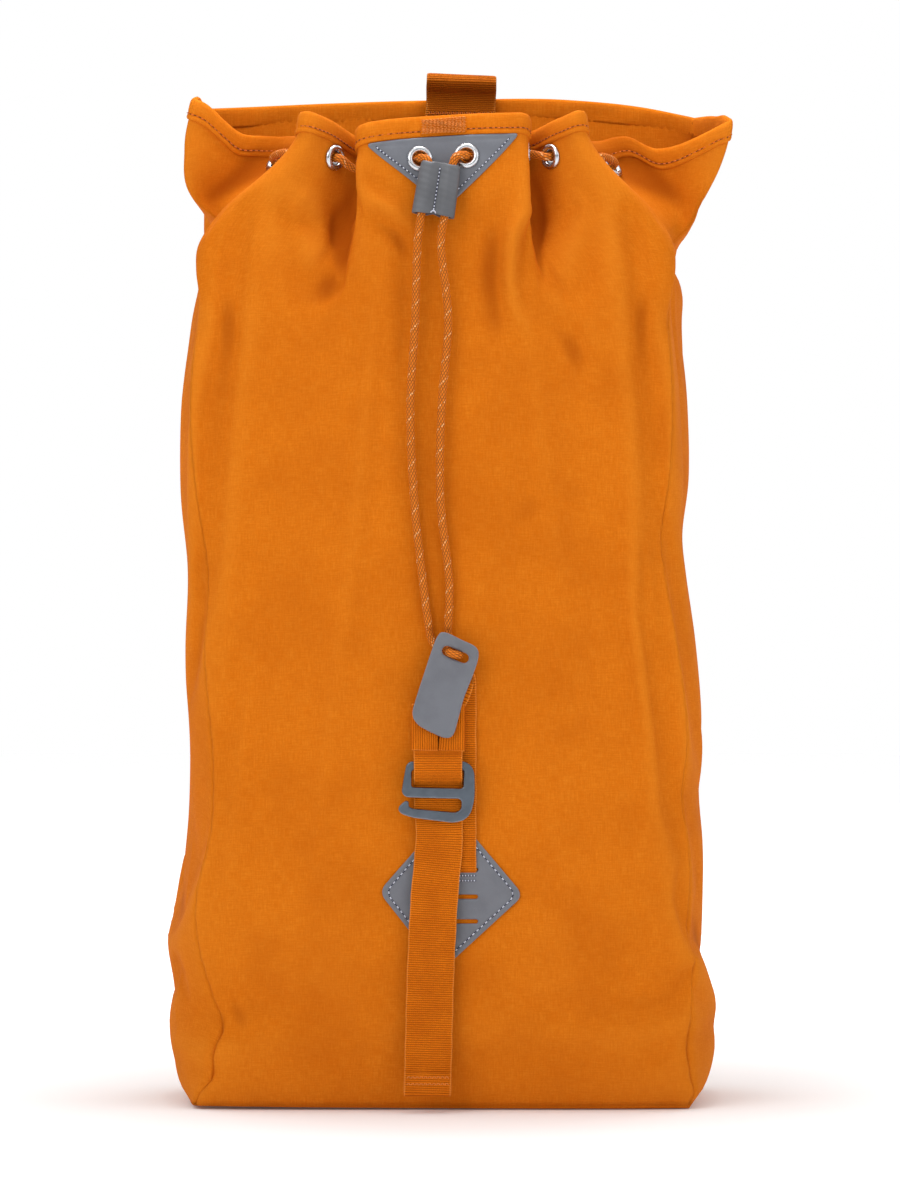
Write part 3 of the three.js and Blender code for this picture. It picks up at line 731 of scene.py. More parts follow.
def settled_cloth():
    """Settles the cloth and sharpens its creases and seams: points, normals and hollowness."""
    shell = loop_shell()
    shell = simulate(shell)
    fine = refine(shell)
    fine[..., 2] = np.maximum(fine[..., 2], FLOOR)
    fine = press_creases(fine, grid_normals(fine, True))
    fine = press_seams(fine, grid_normals(fine, True))
    normals = grid_normals(fine, True)
    fold = fold_measure(fine, normals)
    # Less painted fold shade where the gussets narrow at the waist.
    waist = smoothstep(np.abs(fine[..., 0]), 84, 104) * smoothstep(fine[..., 2], 415, 435)
    return fine, normals, fold * (1 - WAIST_CALM * waist * (1 - smoothstep(fine[..., 2], 470, 492)))


CLOTH_POINTS, CLOTH_NORMALS, CLOTH_FOLD_SHADE = settled_cloth()


def on_cloth(panel, t, z):
    """Points at share t and height z of a panel of the settled cloth, and the normals there."""
    t, z = np.broadcast_arrays(np.asarray(t, float), np.asarray(z, float))
    count, way = PANELS[panel]
    column = 2 * STARTS[panel] + (way * t + 1) * count
    rise = np.clip((z - FLOOR) / (rim_height(panel, t) - FLOOR), 0, 1)
    row = np.clip((1 - (1 - rise) ** (1 / ROW_BUNCH)) * 2 * ROWS, 0, 2 * ROWS - 1e-6)
    i, k = np.floor(column).astype(int), np.floor(row).astype(int)
    u, v = (column - i)[..., None], (row - k)[..., None]
    found = []
    for grid in (CLOTH_POINTS, CLOTH_NORMALS):
        a, b = i % len(grid), (i + 1) % len(grid)
        low, high = (mix(grid[a, row], grid[b, row], u) for row in (k, k + 1))
        found.append(mix(low, high, v))
    return found[0], unit(found[1])


def cloth_panels():
    """The five sewn canvas panels, with holes for the eyelets."""
    for panel, (count, _) in PANELS.items():
        ids = [(2 * STARTS[panel] + i) % len(CLOTH_POINTS) for i in range(2 * count + 1)]
        points = CLOTH_POINTS[ids]
        middles = (points[1:, 1:] + points[:-1, 1:] + points[1:, :-1] + points[:-1, :-1]) / 4
        kept = np.ones(middles.shape[:2], bool)
        for name, (home, _, _) in EYELETS.items():
            if home == panel:
                kept &= np.linalg.norm(middles - eyelet_frame(name)[0], axis=-1) > EYELET_HOLE + 1.0
        node = PANEL_NODES[panel]
        piece = sheet(f"{node}_cloth", points, CLOTH_NORMALS[ids], CLOTH, CANVAS, CLOTH_FOLD_SHADE[ids], kept)
        belongs(piece, "root", "canvas", node)
    floor = base_grid(CLOTH_POINTS[::2])
    u, v = np.linspace(0, np.pi, floor.shape[0]), np.linspace(0, np.pi, floor.shape[1])
    floor[..., 2] -= 0.5 * smoothstep(np.sin(u)[:, None] * np.sin(v), 0.0, 0.2)
    down = np.zeros_like(floor)
    down[..., 2] = -1
    under = sheet("base_cloth", floor[:, ::-1], down[:, ::-1], CLOTH, CANVAS)
    belongs(under, "root", "canvas", "base_panel")


# ---------------------------------------------------------------- stitches

STITCH_SIDES = 6
STITCH_SHAPE = [(-0.5, 0.55), (-0.3, 0.95), (0.0, 1.0), (0.3, 0.95), (0.5, 0.55)]
NEEDLE_HOLE = 1.25


def stitch_faces(count):
    """Faces of a number of threads: their sides, then their first caps, then their last caps."""
    sides = STITCH_SIDES
    per = len(STITCH_SHAPE) * sides
    local = [(at + s, at + (s + 1) % sides, at + sides + (s + 1) % sides, at + sides + s)
             for at in range(0, per - sides, sides) for s in range(sides)]
    faces = [tuple(i * per + c for c in f) for i in range(count) for f in local]
    faces += [tuple(i * per + s for s in range(sides - 1, -1, -1)) for i in range(count)]
    return faces + [tuple(i * per + per - sides + s for s in range(sides)) for i in range(count)]


def hole_faces(start, count):
    """Faces of a number of needle holes, each a small cone of points from a start."""
    faces = []
    for at in range(start, start + count * (STITCH_SIDES + 1), STITCH_SIDES + 1):
        faces += [(at + s, at + (s + 1) % STITCH_SIDES, at + STITCH_SIDES) for s in range(STITCH_SIDES)]
        faces.append(tuple(at + s for s in range(STITCH_SIDES - 1, -1, -1)))
    return faces


def stitch_row(name, centres, alongs, normals, length, radius, thread, hole_shade=None):
    """A row of short threads that dive into the material at both ends, with a needle hole at each end, dark
    with painted shade.
    """
    around = np.arange(STITCH_SIDES) * 2 * math.pi / STITCH_SIDES
    centres, normals = np.asarray(centres, float), unit(np.asarray(normals, float))
    alongs = unit(np.asarray(alongs, float))
    asides = unit(np.cross(normals, alongs))
    points = []
    for share, size in STITCH_SHAPE:
        dive = radius * (0.15 - 5.2 * share**2)
        base = centres + alongs * (share * length) + normals * dive
        for angle in around:
            points.append(base + radius * size * (asides * math.cos(angle) + normals * math.sin(angle)))
    points = np.stack(points, 1).reshape(-1, 3)
    faces = stitch_faces(len(centres))
    if hole_shade is None:
        return new_object(name, points, faces, thread)
    cones = []
    for end in (-0.5, 0.5):
        base = centres + alongs * (end * length) + normals * 0.06
        rim = [base + radius * NEEDLE_HOLE * (asides * math.cos(a) + alongs * math.sin(a)) for a in around]
        cones.append(np.stack(rim + [base - normals * 0.5], 1))
    holes = hole_faces(len(points), 2 * len(centres))
    points = np.concatenate([points, np.concatenate(cones).reshape(-1, 3)])
    obj = new_object(name, points, faces + holes, thread)
    obj.data.materials.append(hole_shade)
    obj.data.polygons.foreach_set("material_index", [0] * len(faces) + [1] * len(holes))
    return obj


def along_path(points, normals, pitch):
    """Evenly spaced places on a line: centres, directions and normals."""
    lengths = run_lengths(points)
    at = even_places(lengths[-1], max(int(lengths[-1] / pitch), 1))
    slopes = np.gradient(points, lengths, axis=0)
    return [read_line(values, lengths, at) for values in (points, slopes, normals)]


def plain_material(name, color, roughness, scale=800, spread=0.12):
    s = Shader(name, roughness)
    grain = s.noise(s.place(), scale, 3, 0.6)
    return s.finish(s.tint(color, tinted(color, 1 - 3 * spread), grain, 0.3, 0.7), grain, 0.0001, 0.6)


THREAD_ORANGE = plain_material("orange_thread", srgb(214, 106, 18), 0.7)
THREAD_LIGHT = plain_material("light_orange_thread", srgb(222, 126, 36), 0.7)
THREAD_PALE = plain_material("pale_thread", srgb(205, 208, 222), 0.6, 900, 0.08)
# Painted shade inside the needle holes, in canvas and in leather.
HOLE_SHADE_BROWN = plain_material("needle_hole_shade_in_canvas", srgb(96, 38, 4), 0.95)
HOLE_SHADE_DARK = plain_material("needle_hole_shade_in_leather", srgb(32, 34, 66), 0.95)
PALE_STITCH = (THREAD_PALE, HOLE_SHADE_DARK)


# ---------------------------------------------------------------- rim hem

HEM_HEIGHT = 10.0
HEM_STITCH = 7.4
HEM_COLUMNS = 2 * LOOP
# The hem's section as (distance out of the cloth, height over the rim)
HEM_PROFILE = [(-0.2, -10.2), (0.75, -10.35), (1.25, -9.8), (1.35, -8.8), (1.0, -7.4), (1.3, -6.0),
               (1.4, -4.0), (1.4, -2.2), (1.2, -0.6), (0.6, 0.5), (-0.3, 0.9), (-1.3, 0.5), (-1.7, -0.6),
               (-1.7, -3.0), (-1.5, -6.0), (-1.2, -8.8), (-0.9, -10.2)]


def loop_places(count):
    """Panel and share t for each of count places round the mouth, from the front left."""
    places = []
    for i in range(count):
        at = i * LOOP / count
        for panel, (columns, way) in PANELS.items():
            start = STARTS[panel]
            if start <= at < start + columns:
                places.append((panel, way * (2 * (at - start) / columns - 1)))
    return places


def mouth_ring(drop, lift=0.0):
    """Points and normals round the mouth, at a height below the rim and a distance off the cloth."""
    points, normals = np.zeros((2, HEM_COLUMNS, 3))
    for i, (panel, t) in enumerate(loop_places(HEM_COLUMNS)):
        z = float(rim_height(panel, np.array(t))) - drop
        points[i], normals[i] = on_cloth(panel, t, z)
    for _ in range(2):
        normals = unit(normals + np.roll(normals, 1, 0) + np.roll(normals, -1, 0))
    return points + normals * lift, normals


def rim_hem():
    """The folded band round the mouth, puckered at its row of stitches."""
    low, normals = mouth_ring(HEM_HEIGHT)
    high, _ = mouth_ring(0.0)
    beat = np.arange(HEM_COLUMNS)
    rows = []
    for lift, height in HEM_PROFILE:
        base = mix(low, high, (height + HEM_HEIGHT) / HEM_HEIGHT)
        pucker = 0.22 * np.sin(beat * 2 * math.pi / 3.1) * np.exp(-(((height + HEM_STITCH) / 2.4) ** 2))
        wave = 0.28 * np.sin(beat * 0.21 + 0.3 * height) + 0.2 * np.sin(beat * 0.083 + 2)
        wave += 0.5 * np.sin(beat * 0.13) * (height < -9)
        rows.append(base + normals * (lift + (pucker + 0.5 * wave) * np.sign(lift + 0.5))[:, None])
    grid = np.stack(rows, 1)
    band = new_object("rim_hem_band", grid.reshape(-1, 3), ring_faces(HEM_COLUMNS, len(HEM_PROFILE)), CANVAS)
    along, over = run_lengths(high), run_lengths(HEM_PROFILE)
    lay_uv(band, np.stack(np.broadcast_arrays(along[:, None], over[None]), -1).reshape(-1, 2) * MM)
    # Painted shade along the hem's stitch groove, and the cloth's painted fold shade a little lighter over
    # the band.
    stitch_groove_shade = np.array([0.55 * math.exp(-(((h + HEM_STITCH) / 1.1) ** 2)) for _, h in HEM_PROFILE])
    mark(band, "fold", (CLOTH_FOLD_SHADE[:, -4][:, None] * 0.7 - 0.25 + stitch_groove_shade[None] * 2).ravel())
    belongs(band, "root", "canvas", "rim_hem")
    line, out = mouth_ring(HEM_STITCH, 1.2)
    line, out = np.concatenate([line, line[:1]]), np.concatenate([out, out[:1]])
    row = stitch_row("rim_hem_stitches", *along_path(line, out, 2.9), 2.2, 0.27, THREAD_ORANGE, HOLE_SHADE_BROWN)
    belongs(row, "root", "thread")


def hem_overlap():
    """The densely stitched place where the ends of the hem band overlap."""
    t = np.linspace(-10.4, 11.0, 44) / FLAT_WIDTH * FLAT_SHARE
    low, high = (on_cloth("front", t, rim_height("front", t) - drop)[0] for drop in (9.4, 0.6))
    normal = unit(np.cross(low[-1] - low[0], high[0] - low[0]))
    grid = np.stack([mix(low, high, v) for v in np.linspace(0, 1, 19)], 1)
    u, v = np.linspace(-1, 1, 44)[:, None], np.linspace(-1, 1, 19)[None]
    dome = 1.55 + 0.65 * (1 - np.maximum(np.abs(u) ** 12, np.abs(v) ** 8))
    normals = np.broadcast_to(normal, grid.shape)
    patch = sheet("hem_overlap_cloth", grid + normal * dome[..., None], normals, 0.9, CANVAS)
    belongs(patch, "root", "canvas", "hem_overlap")
    centres = []
    for row, v in enumerate(np.linspace(0.08, 0.92, 11)):
        for x in np.linspace(0.05 + 0.02 * (row % 2), 0.93 + 0.02 * (row % 2), 12):
            at = mix(low[0], low[-1], x) * (1 - v) + mix(high[0], high[-1], x) * v
            centres.append(at + normal * 2.2 + vec(0, 0, 0.25 * math.sin(x * 5 + row)))
    count = len(centres)
    along = np.tile(low[-1] - low[0] + vec(0, 0, 1.2), (count, 1))
    normals = np.tile(normal, (count, 1))
    row = stitch_row("hem_overlap_stitches", centres, along, normals, 1.75, 0.3, THREAD_LIGHT)
    belongs(row, "root", "thread")


# ---------------------------------------------------------------- eyelets


def metal_material(name, color, roughness, scratch=0.15, wear_and_underside_highlight=None):
    """Scratched metal; one given an underside colour is paler on its lower edges and darker on its upper
    ones: a painted highlight on faces that look down and painted shade on faces that look up.
    """
    s = Shader(name, roughness, metallic=1.0)
    scratches = s.noise(s.place((1, 1, 12)), 300, 4, 0.7)
    blotch = s.noise(s.place(), 120, 3, 0.6)
    shade = s.tint(color, tinted(color, 0.82), blotch, 0.35, 0.7)
    if wear_and_underside_highlight is not None:
        # Painted highlight on faces that look down and painted shade on faces that look up, by the height of
        # the normal.
        rise = s.split(s.add("ShaderNodeNewGeometry").outputs["Normal"])[2]
        shade = s.tint(shade, wear_and_underside_highlight, rise, -0.15, -0.8, 0.0, 0.75)
        shade = s.tint(shade, (0.02, 0.025, 0.03, 1), rise, 0.2, 0.8, 0.0, 0.45)
    rough = s.band(scratches, 0.3, 0.7, roughness, roughness + scratch)
    return s.finish(shade, scratches, 0.00004, 0.35, rough)


NICKEL = metal_material("eyelet_nickel", srgb(206, 208, 212), 0.16)


def lathe(name, profile, centre, normal, material, segments=48):
    """A closed ring, turned from a (radius, height) profile about the normal."""
    turn = np.array(Vector((0, 0, 1)).rotation_difference(Vector(normal)).to_matrix())
    angles = np.arange(segments) * 2 * math.pi / segments
    points = [[r * math.cos(a), r * math.sin(a), h] for a in angles for r, h in profile]
    return new_object(name, np.array(points) @ turn.T + centre, ring_faces(segments, len(profile)), material)


def arc(centre, radius, start, end, count):
    angles = np.radians(np.linspace(start, end, count))
    return [(centre[0] + radius * math.cos(a), centre[1] + radius * math.sin(a)) for a in angles]


def ring_profile(lift):
    """An eyelet's section: its rolled crown on the cloth, and its neck, spread behind the washer."""
    seat = lift + 0.25
    roll = 1.75
    middle = (EYELET_HOLE + 1.7, seat)
    under = [(0.75, seat - 0.25), (0.75, -CLOTH - 1.6), (1.6, -CLOTH - 1.9), (1.0, -CLOTH - 2.6),
             (-0.2, -CLOTH - 1.8)]
    profile = arc(middle, roll, 0, 180, 13)[::-1] + [(middle[0] + roll, seat - 0.25)]
    profile += [(EYELET_HOLE + r, h) for r, h in under]
    return [(max(r, EYELET_HOLE - 0.2), h) for r, h in profile][::-1]


def eyelets():
    washer = [(4.5, 0.5), (6.2, 0.4), (6.4, 0), (6.1, -0.35), (5.2, -0.7), (4.5, -0.5)]
    washer = [(r, -CLOTH - 1.3 + h) for r, h in washer]
    for name, (_, _, lift) in EYELETS.items():
        for kind, profile in (("eyelet", ring_profile(lift)), ("washer", washer)):
            ring = lathe(f"{name}_{kind}_ring", profile, *eyelet_frame(name), NICKEL)
            belongs(ring, "root", "eyelet_nickel", f"{kind}_{name}")


# ---------------------------------------------------------------- cords

CORD_RADIUS = 2.1


def cord_material():
    s = Shader("braided_cord", 0.75, 0.2)
    grain = s.noise(s.place(), 1500, 3, 0.6)
    # Painted shade in the grooves between the strands, by the crown mark; the strand crowns keep the full
    # colour.
    tone = s.tint(srgb(104, 48, 4), srgb(224, 122, 26), s.attribute("crown"), 0.1, 0.8)
    tone = s.tint(tone, srgb(140, 64, 6), grain, 0.35, 0.8, 0.0, 0.35)
    tone = s.tint(tone, srgb(246, 200, 140), s.attribute("tracer"), 0.3, 0.8, 0.0, 0.7)
    return s.finish(tone, grain, 0.00015, 0.8)


CORD = cord_material()


def smooth_path(points, step):
    """Centripetal curve through points, read at even steps."""
    points = np.array(points, float)
    padded = np.concatenate([[2 * points[0] - points[1]], points, [2 * points[-1] - points[-2]]])
    result = []
    for p0, p1, p2, p3 in zip(padded, padded[1:], padded[2:], padded[3:]):
        t = [0.0]
        for a, b in ((p0, p1), (p1, p2), (p2, p3)):
            t.append(t[-1] + max(np.linalg.norm(b - a), 1e-6) ** 0.5)
        at = np.linspace(t[1], t[2], 24, endpoint=False)[:, None]

        def between_knots(i, j, a, b):
            return (t[j] - at) / (t[j] - t[i]) * a + (at - t[i]) / (t[j] - t[i]) * b

        a1, a2, a3 = between_knots(0, 1, p0, p1), between_knots(1, 2, p1, p2), between_knots(2, 3, p2, p3)
        b1, b2 = between_knots(0, 2, a1, a2), between_knots(1, 3, a2, a3)
        result.append(between_knots(1, 2, b1, b2))
    result = np.concatenate(result + [points[-1:]])
    lengths = run_lengths(result)
    at = np.linspace(0, lengths[-1], max(int(lengths[-1] / step), 2))
    return read_line(result, lengths, at), at


def swept_frames(path):
    """Side vectors that don't twist along a path."""
    heads = unit(np.gradient(path, axis=0))
    sides = [unit(np.cross(heads[0], vec(0.31, 0.2, 0.93)))]
    for head in heads[1:]:
        side = sides[-1] - head * np.dot(sides[-1], head)
        sides.append(side / np.linalg.norm(side))
    return np.array(sides), np.cross(heads, np.array(sides))


BRAID_AROUND = 32
BRAID_STRANDS = 8
BRAID_PITCH = 5.6
TRACER_PITCH = 12.0
TRACER_HALF = 0.26


def braid(name, points, radius=CORD_RADIUS):
    """A braided cord: diamond strands round a core, a pale tracer thread, and rounded ends."""
    path, at = smooth_path(points, 0.5)
    sides, ups = swept_frames(path)
    angle = np.arange(BRAID_AROUND) * 2 * math.pi / BRAID_AROUND
    turn = at[:, None] * 2 * math.pi / BRAID_PITCH
    strand = BRAID_STRANDS * angle[None] / 2
    crown = np.abs(np.sin(strand + turn) * np.sin(strand - turn)) ** 0.7
    size = radius * (0.9 + 0.15 * crown)
    end = np.minimum(at, at[-1] - at)
    size *= np.sqrt(np.clip(1 - (1 - np.clip(end / radius, 0, 1)) ** 2, 0.02, 1))[:, None]
    ring = sides[:, None] * np.cos(angle)[None, :, None] + ups[:, None] * np.sin(angle)[None, :, None]
    grid = path[:, None] + ring * size[..., None]
    obj = new_object(name, grid.reshape(-1, 3), tube_faces(len(path), BRAID_AROUND), CORD)
    mark(obj, "crown", crown.ravel())
    off = np.mod(angle[None] - at[:, None] * 2 * math.pi / TRACER_PITCH + math.pi, 2 * math.pi) - math.pi
    mark(obj, "tracer", ((np.abs(off) < TRACER_HALF) * (crown > 0.55)).ravel())
    return obj


LEAN = math.atan2(float(front_y(RIM_FRONT) - front_y(450.0)), RIM_FRONT - 450)
SLEEVE = {"width": 22.0, "height": 28.0, "depth": 8.2, "x": -3.2, "z": -38.4, "tilt": 0.15, "spread": 6.0}
SLEEVE_OFF = 4.0 + SLEEVE["depth"] / 2
TAIL_SWAY = {
    -1: [(413, -14.5), (367, -17), (319, -15), (275, -10.3), (251.3, -7.2)],
    1: [(413, 2.6), (367, -0.8), (319, -1.4), (275, 3.2), (251.3, 2.6)],
}
TAG = {"x": 1.0, "z": 223.0, "lean": 0.28, "out": 10.2}
INTO_BAG, OUT_OF_BAG = (3.4, 0, -4.4), (-4.4, 0, 3.4)


def in_mouth(x, out, z):
    """A place in the leaning frame of the front rim: out is the distance in front of the cloth."""
    turn = np.array(Matrix.Rotation(-LEAN, 3, "X"))
    return turn @ vec(x, -out, z) + vec(0, float(front_y(RIM_FRONT)), RIM_FRONT)


def in_sleeve(x, out, along):
    """A place in the frame of the cord sleeve, which hangs a little tilted."""
    turn = np.array(Matrix.Rotation(SLEEVE["tilt"], 3, "Y"))
    local = turn @ vec(x, 0, along)
    return in_mouth(SLEEVE["x"] + local[0], SLEEVE_OFF + out, SLEEVE["z"] + local[2])


def through_eyelet(name, distances):
    centre, normal = eyelet_frame(name)
    return [centre + normal * d for d in distances]


def cord_run(sign, side):
    """The drawcord from the patch to the back of the bag, in and out through the eyelets of one side."""
    run = through_eyelet(f"patch_{side}", (4.2, 0, -4.4))
    run.append(vec(sign * 25, -53, 497))
    for out, back in (("pleat", "fold"), ("flank", "wing")):
        run += through_eyelet(f"{out}_{side}", OUT_OF_BAG)
        run += through_eyelet(f"{back}_{side}", INTO_BAG)
    return run + [vec(sign * 96, 10, 494), vec(sign * 96, 42, 492), vec(sign * 70, 58, 491)]


def cords():
    left, right = cord_run(-1, "left"), cord_run(1, "right")
    run = braid("drawcord_braid", left + [vec(0, 59.5, 490)] + right[::-1])
    belongs(run, "root", "cord", "drawcord")
    for sign, side in ((-1, "left"), (1, "right")):
        bore = sign * SLEEVE["spread"]
        path = through_eyelet(f"patch_{side}", (2.6, 4.2, 7.4))
        path[-1][0] = mix(path[-1][0], in_sleeve(bore, 0, 14)[0], 0.7)
        path[-1][2] -= 1.4
        path += [in_sleeve(bore, 0, along) for along in (12, 0, -12, -26)]
        path += [vec(x, float(front_y(z)) - 3.4, z) for z, x in TAIL_SWAY[sign]]
        belongs(braid(f"{side}_tail_braid", path), "cord_tails", "cord", f"cord_tail_{side}")


def cord_bight():
    """The joined end of the two tails, passed through the tag's slot."""
    turn = np.array(Matrix.Rotation(TAG["lean"], 3, "Y"))
    home = vec(TAG["x"], float(front_y(TAG["z"])) - TAG["out"], TAG["z"])
    slot = turn @ vec(0, 0, 16.5) + home
    across = turn @ vec(3.4, 0, 0)
    out = vec(0, -1.6, 0)
    path = [vec(-8.0, -83.4, 257), vec(-7.3, -83.4, 252), vec(-6.5, -83.7, 247.5), vec(-4.2, -85, 243.5),
            slot - across + vec(0, 2.6, 0.6), slot - 0.55 * across + out, slot + 0.55 * across + out,
            slot + across + vec(0, 2.6, 0.6), vec(6.3, -85, 243), vec(3.2, -83.7, 247.5),
            vec(2.6, -83.4, 252), vec(2.75, -83.4, 257)]
    bight = braid("tag_bight_braid", path, 1.98)
    bends(bight, "cord_bight", "cord", "cord_tails", "pull_tag", (0, -0.084, 0.252), (0, -0.084, 0.245))


# ---------------------------------------------------------------- leather


def leather_material(name, color):
    """Grained leather, paler along its cut edges."""
    s = Shader(name, 0.5, 0.4)
    pores = s.add("ShaderNodeTexVoronoi", {"feature": "DISTANCE_TO_EDGE"}, Vector=s.place(), Scale=1300.0)
    grain = s.band(pores.outputs["Distance"], 0.0, 0.12)
    fine = s.noise(s.place(), 2600, 3, 0.6)
    cloud = s.noise(s.place(), 60, 4, 0.6)
    light = tinted(color, 1.28)
    tone = s.tint(color, tinted(color, 0.72), cloud, 0.35, 0.7, 0.0, 0.5)
    tone = s.tint(tone, light, fine, 0.45, 0.75, 0.0, 0.25)
    tone = s.tint(tone, light, s.attribute("edge"), 0.1, 0.9, 0.0, 0.7)
    height = s.total((grain, 0.5), (fine, 0.5))
    return s.finish(tone, height, 0.00008, 0.5, s.band(cloud, 0.3, 0.7, 0.42, 0.58))


GREY_LEATHER = leather_material("grey_leather", srgb(104, 106, 113))
SLEEVE_LEATHER = leather_material("sleeve_leather", srgb(88, 89, 93))


def rounded(corners, radius, step=6):
    """Outline with each corner turned by a short curve; radius may be one value or one per corner."""
    points = []
    corners = [vec(*c) for c in corners]
    radii = radius if isinstance(radius, (list, tuple)) else [radius] * len(corners)
    for i, corner in enumerate(corners):
        before, after = corners[i - 1], corners[(i + 1) % len(corners)]
        enter = corner + unit(before - corner) * radii[i]
        leave = corner + unit(after - corner) * radii[i]
        for share in np.linspace(0, 1, step + 1):
            points.append((1 - share) ** 2 * enter + 2 * share * (1 - share) * corner + share**2 * leave)
    return np.array(points)


def slot_outline(x, z, half, height, turn=0.0):
    """A slot with round ends, as an outline."""
    radius = height / 2
    points = arc((half - radius, 0), radius, -90, 90, 7) + arc((radius - half, 0), radius, 90, 270, 7)
    c, s = math.cos(turn), math.sin(turn)
    return np.array([(x + a * c - b * s, z + a * s + b * c) for a, b in points])


def smooth_outline(corners, steps=5):
    """A closed smooth curve through outline points."""
    ring = np.array(corners, float)
    points = []
    for p0, p1, p2, p3 in zip(np.roll(ring, 1, 0), ring, np.roll(ring, -1, 0), np.roll(ring, -2, 0)):
        for t in np.arange(steps) / steps:
            curve = (-t + 2 * t**2 - t**3) * p0 + (2 - 5 * t**2 + 3 * t**3) * p1
            points.append((curve + (t + 4 * t**2 - 3 * t**3) * p2 + (t**3 - t**2) * p3) / 2)
    return np.array(points)


def outline_distance(x, z, outline):
    return along_line(x, z, np.concatenate([outline, outline[:1]]))[0]


def everything(bm):
    return bm.verts[:] + bm.edges[:] + bm.faces[:]


def cut_slab(outline, holes, thickness, bevel, cell):
    """A flat slab with a bevelled upper edge, cut up into small cells so that it can bend."""
    bm = bmesh.new()
    for ring in [outline] + list(holes):
        verts = [bm.verts.new((x, z, 0)) for x, z in ring]
        for a, b in zip(verts, verts[1:] + verts[:1]):
            bm.edges.new((a, b))
    bmesh.ops.triangle_fill(bm, use_beauty=True, edges=bm.edges[:])
    bmesh.ops.recalc_face_normals(bm, faces=bm.faces[:])
    if bm.faces[0].normal.z < 0:
        bmesh.ops.reverse_faces(bm, faces=bm.faces[:])
    under = bmesh.ops.duplicate(bm, geom=everything(bm))
    under_faces = [g for g in under["geom"] if isinstance(g, bmesh.types.BMFace)]
    over_faces = [f for f in bm.faces if f not in set(under_faces)]
    above = set(over_faces)
    rim = {v for e in bm.edges if len(e.link_faces) == 1 and e.link_faces[0] in above for v in e.verts}
    if bevel:
        bmesh.ops.inset_region(bm, faces=over_faces, thickness=bevel, use_even_offset=True, use_boundary=True)
    for v in bm.verts:
        v.co.z = thickness
    for v in rim:
        v.co.z = thickness - 0.8 * bevel
    for v in {v for f in under_faces for v in f.verts}:
        v.co.z = 0
    bmesh.ops.reverse_faces(bm, faces=under_faces)
    top_rim = [e for e in bm.edges if len(e.link_faces) == 1 and max(v.co.z for v in e.verts) > 0.01]
    made = bmesh.ops.extrude_edge_only(bm, edges=top_rim)
    for v in [g for g in made["geom"] if isinstance(g, bmesh.types.BMVert)]:
        v.co.z = 0
    bmesh.ops.remove_doubles(bm, verts=bm.verts[:], dist=0.001)
    low, high = outline.min(0), outline.max(0)
    for axis, normal in enumerate(((1, 0, 0), (0, 1, 0))):
        for at in np.arange(low[axis] + cell / 2, high[axis], cell):
            spot = tuple(at * n for n in normal)
            bmesh.ops.bisect_plane(bm, geom=everything(bm), plane_co=spot, plane_no=normal)
    return bm


def plate(name, outline, holes, thickness, place, material, stitch_inset=None, bevel=0.5, cell=1.6):
    """A flat cut piece with rounded edges and slots; place(x, z, height) lays it in the bag."""
    bm = cut_slab(outline, holes, thickness, bevel, cell)
    co = np.array([v.co for v in bm.verts])
    away = outline_distance(co[:, 0], co[:, 1], outline)
    for ring in holes:
        away = np.minimum(away, outline_distance(co[:, 0], co[:, 1], ring))
    height = co[:, 2].copy()
    if stitch_inset:
        border = outline_distance(co[:, 0], co[:, 1], outline)
        height -= 0.3 * np.exp(-(((border - stitch_inset) / 0.9) ** 2)) * (height > 0.5 * thickness)
    placed = place(co[:, 0], co[:, 1], height)
    for v, p in zip(bm.verts, placed):
        v.co = Vector(p) * MM
    bmesh.ops.recalc_face_normals(bm, faces=bm.faces[:])
    mesh = bpy.data.meshes.new(name)
    bm.to_mesh(mesh)
    bm.free()
    mesh.materials.append(material)
    obj = in_scene(name, mesh)
    mark(obj, "edge", 1 - smoothstep(away, 0.0, 0.9))
    lay_uv(obj, co[:, :2] * MM)
    return obj


def inset_line(corners, inset, radius):
    """A stitch line inside an outline: the corners moved in, with small curves at the turns."""
    corners = np.array(corners, float)
    moved = []
    for i, corner in enumerate(corners):
        before, after = unit(corners[i - 1] - corner), unit(corners[(i + 1) % len(corners)] - corner)
        half = math.acos(float(np.clip(np.dot(before, after), -1, 1))) / 2
        moved.append(corner + unit(before + after) * inset / math.sin(half))
    ring = rounded(moved, radius)
    return np.concatenate([ring, ring[:1]])


def laid_stitches(name, line, place, lift, pitch, length, radius, thread, hole_shade=None):
    """Stitches along a flat (x, z) line, laid in the bag by place(x, z, height)."""
    line = np.array(line, float)
    lengths = run_lengths(line)
    count = max(int(round(lengths[-1] / pitch)), 1)
    at = even_places(lengths[-1], count)
    read = [read_line(line, lengths, at + d) for d in (-0.4, 0, 0.4)]
    spots = [place(p[:, 0], p[:, 1], np.full(count, lift)) for p in read]
    raised = place(read[1][:, 0], read[1][:, 1], np.full(count, lift + 1.0))
    return stitch_row(name, spots[1], spots[2] - spots[0], raised - spots[1], length, radius, thread, hole_shade)


PATCH_CORNERS = [(-39, -9.0), (0.8, -48), (38.5, -9.0)]
DIAMOND = [(-33.4, 115.2), (-1.0, 74.0), (41.8, 113.4), (4.2, 158.0)]
PATCH_STIFFNESS = 0.45
STRAP_X = 4.2
SLOTS = [(STRAP_X + 0.6, 126.6), (STRAP_X + 0.6, 112.6), (STRAP_X + 0.6, 99.8)]


def mouth_tilt(x, z):
    """How much higher a point of the patch sits, since the rim rises a little to the right."""
    rise = rim_height("front", x / FLAT_WIDTH * FLAT_SHARE) - rim_height("front", 0.0)
    return rise * (1 - 0.8 * smoothstep(-z, 12, 44))


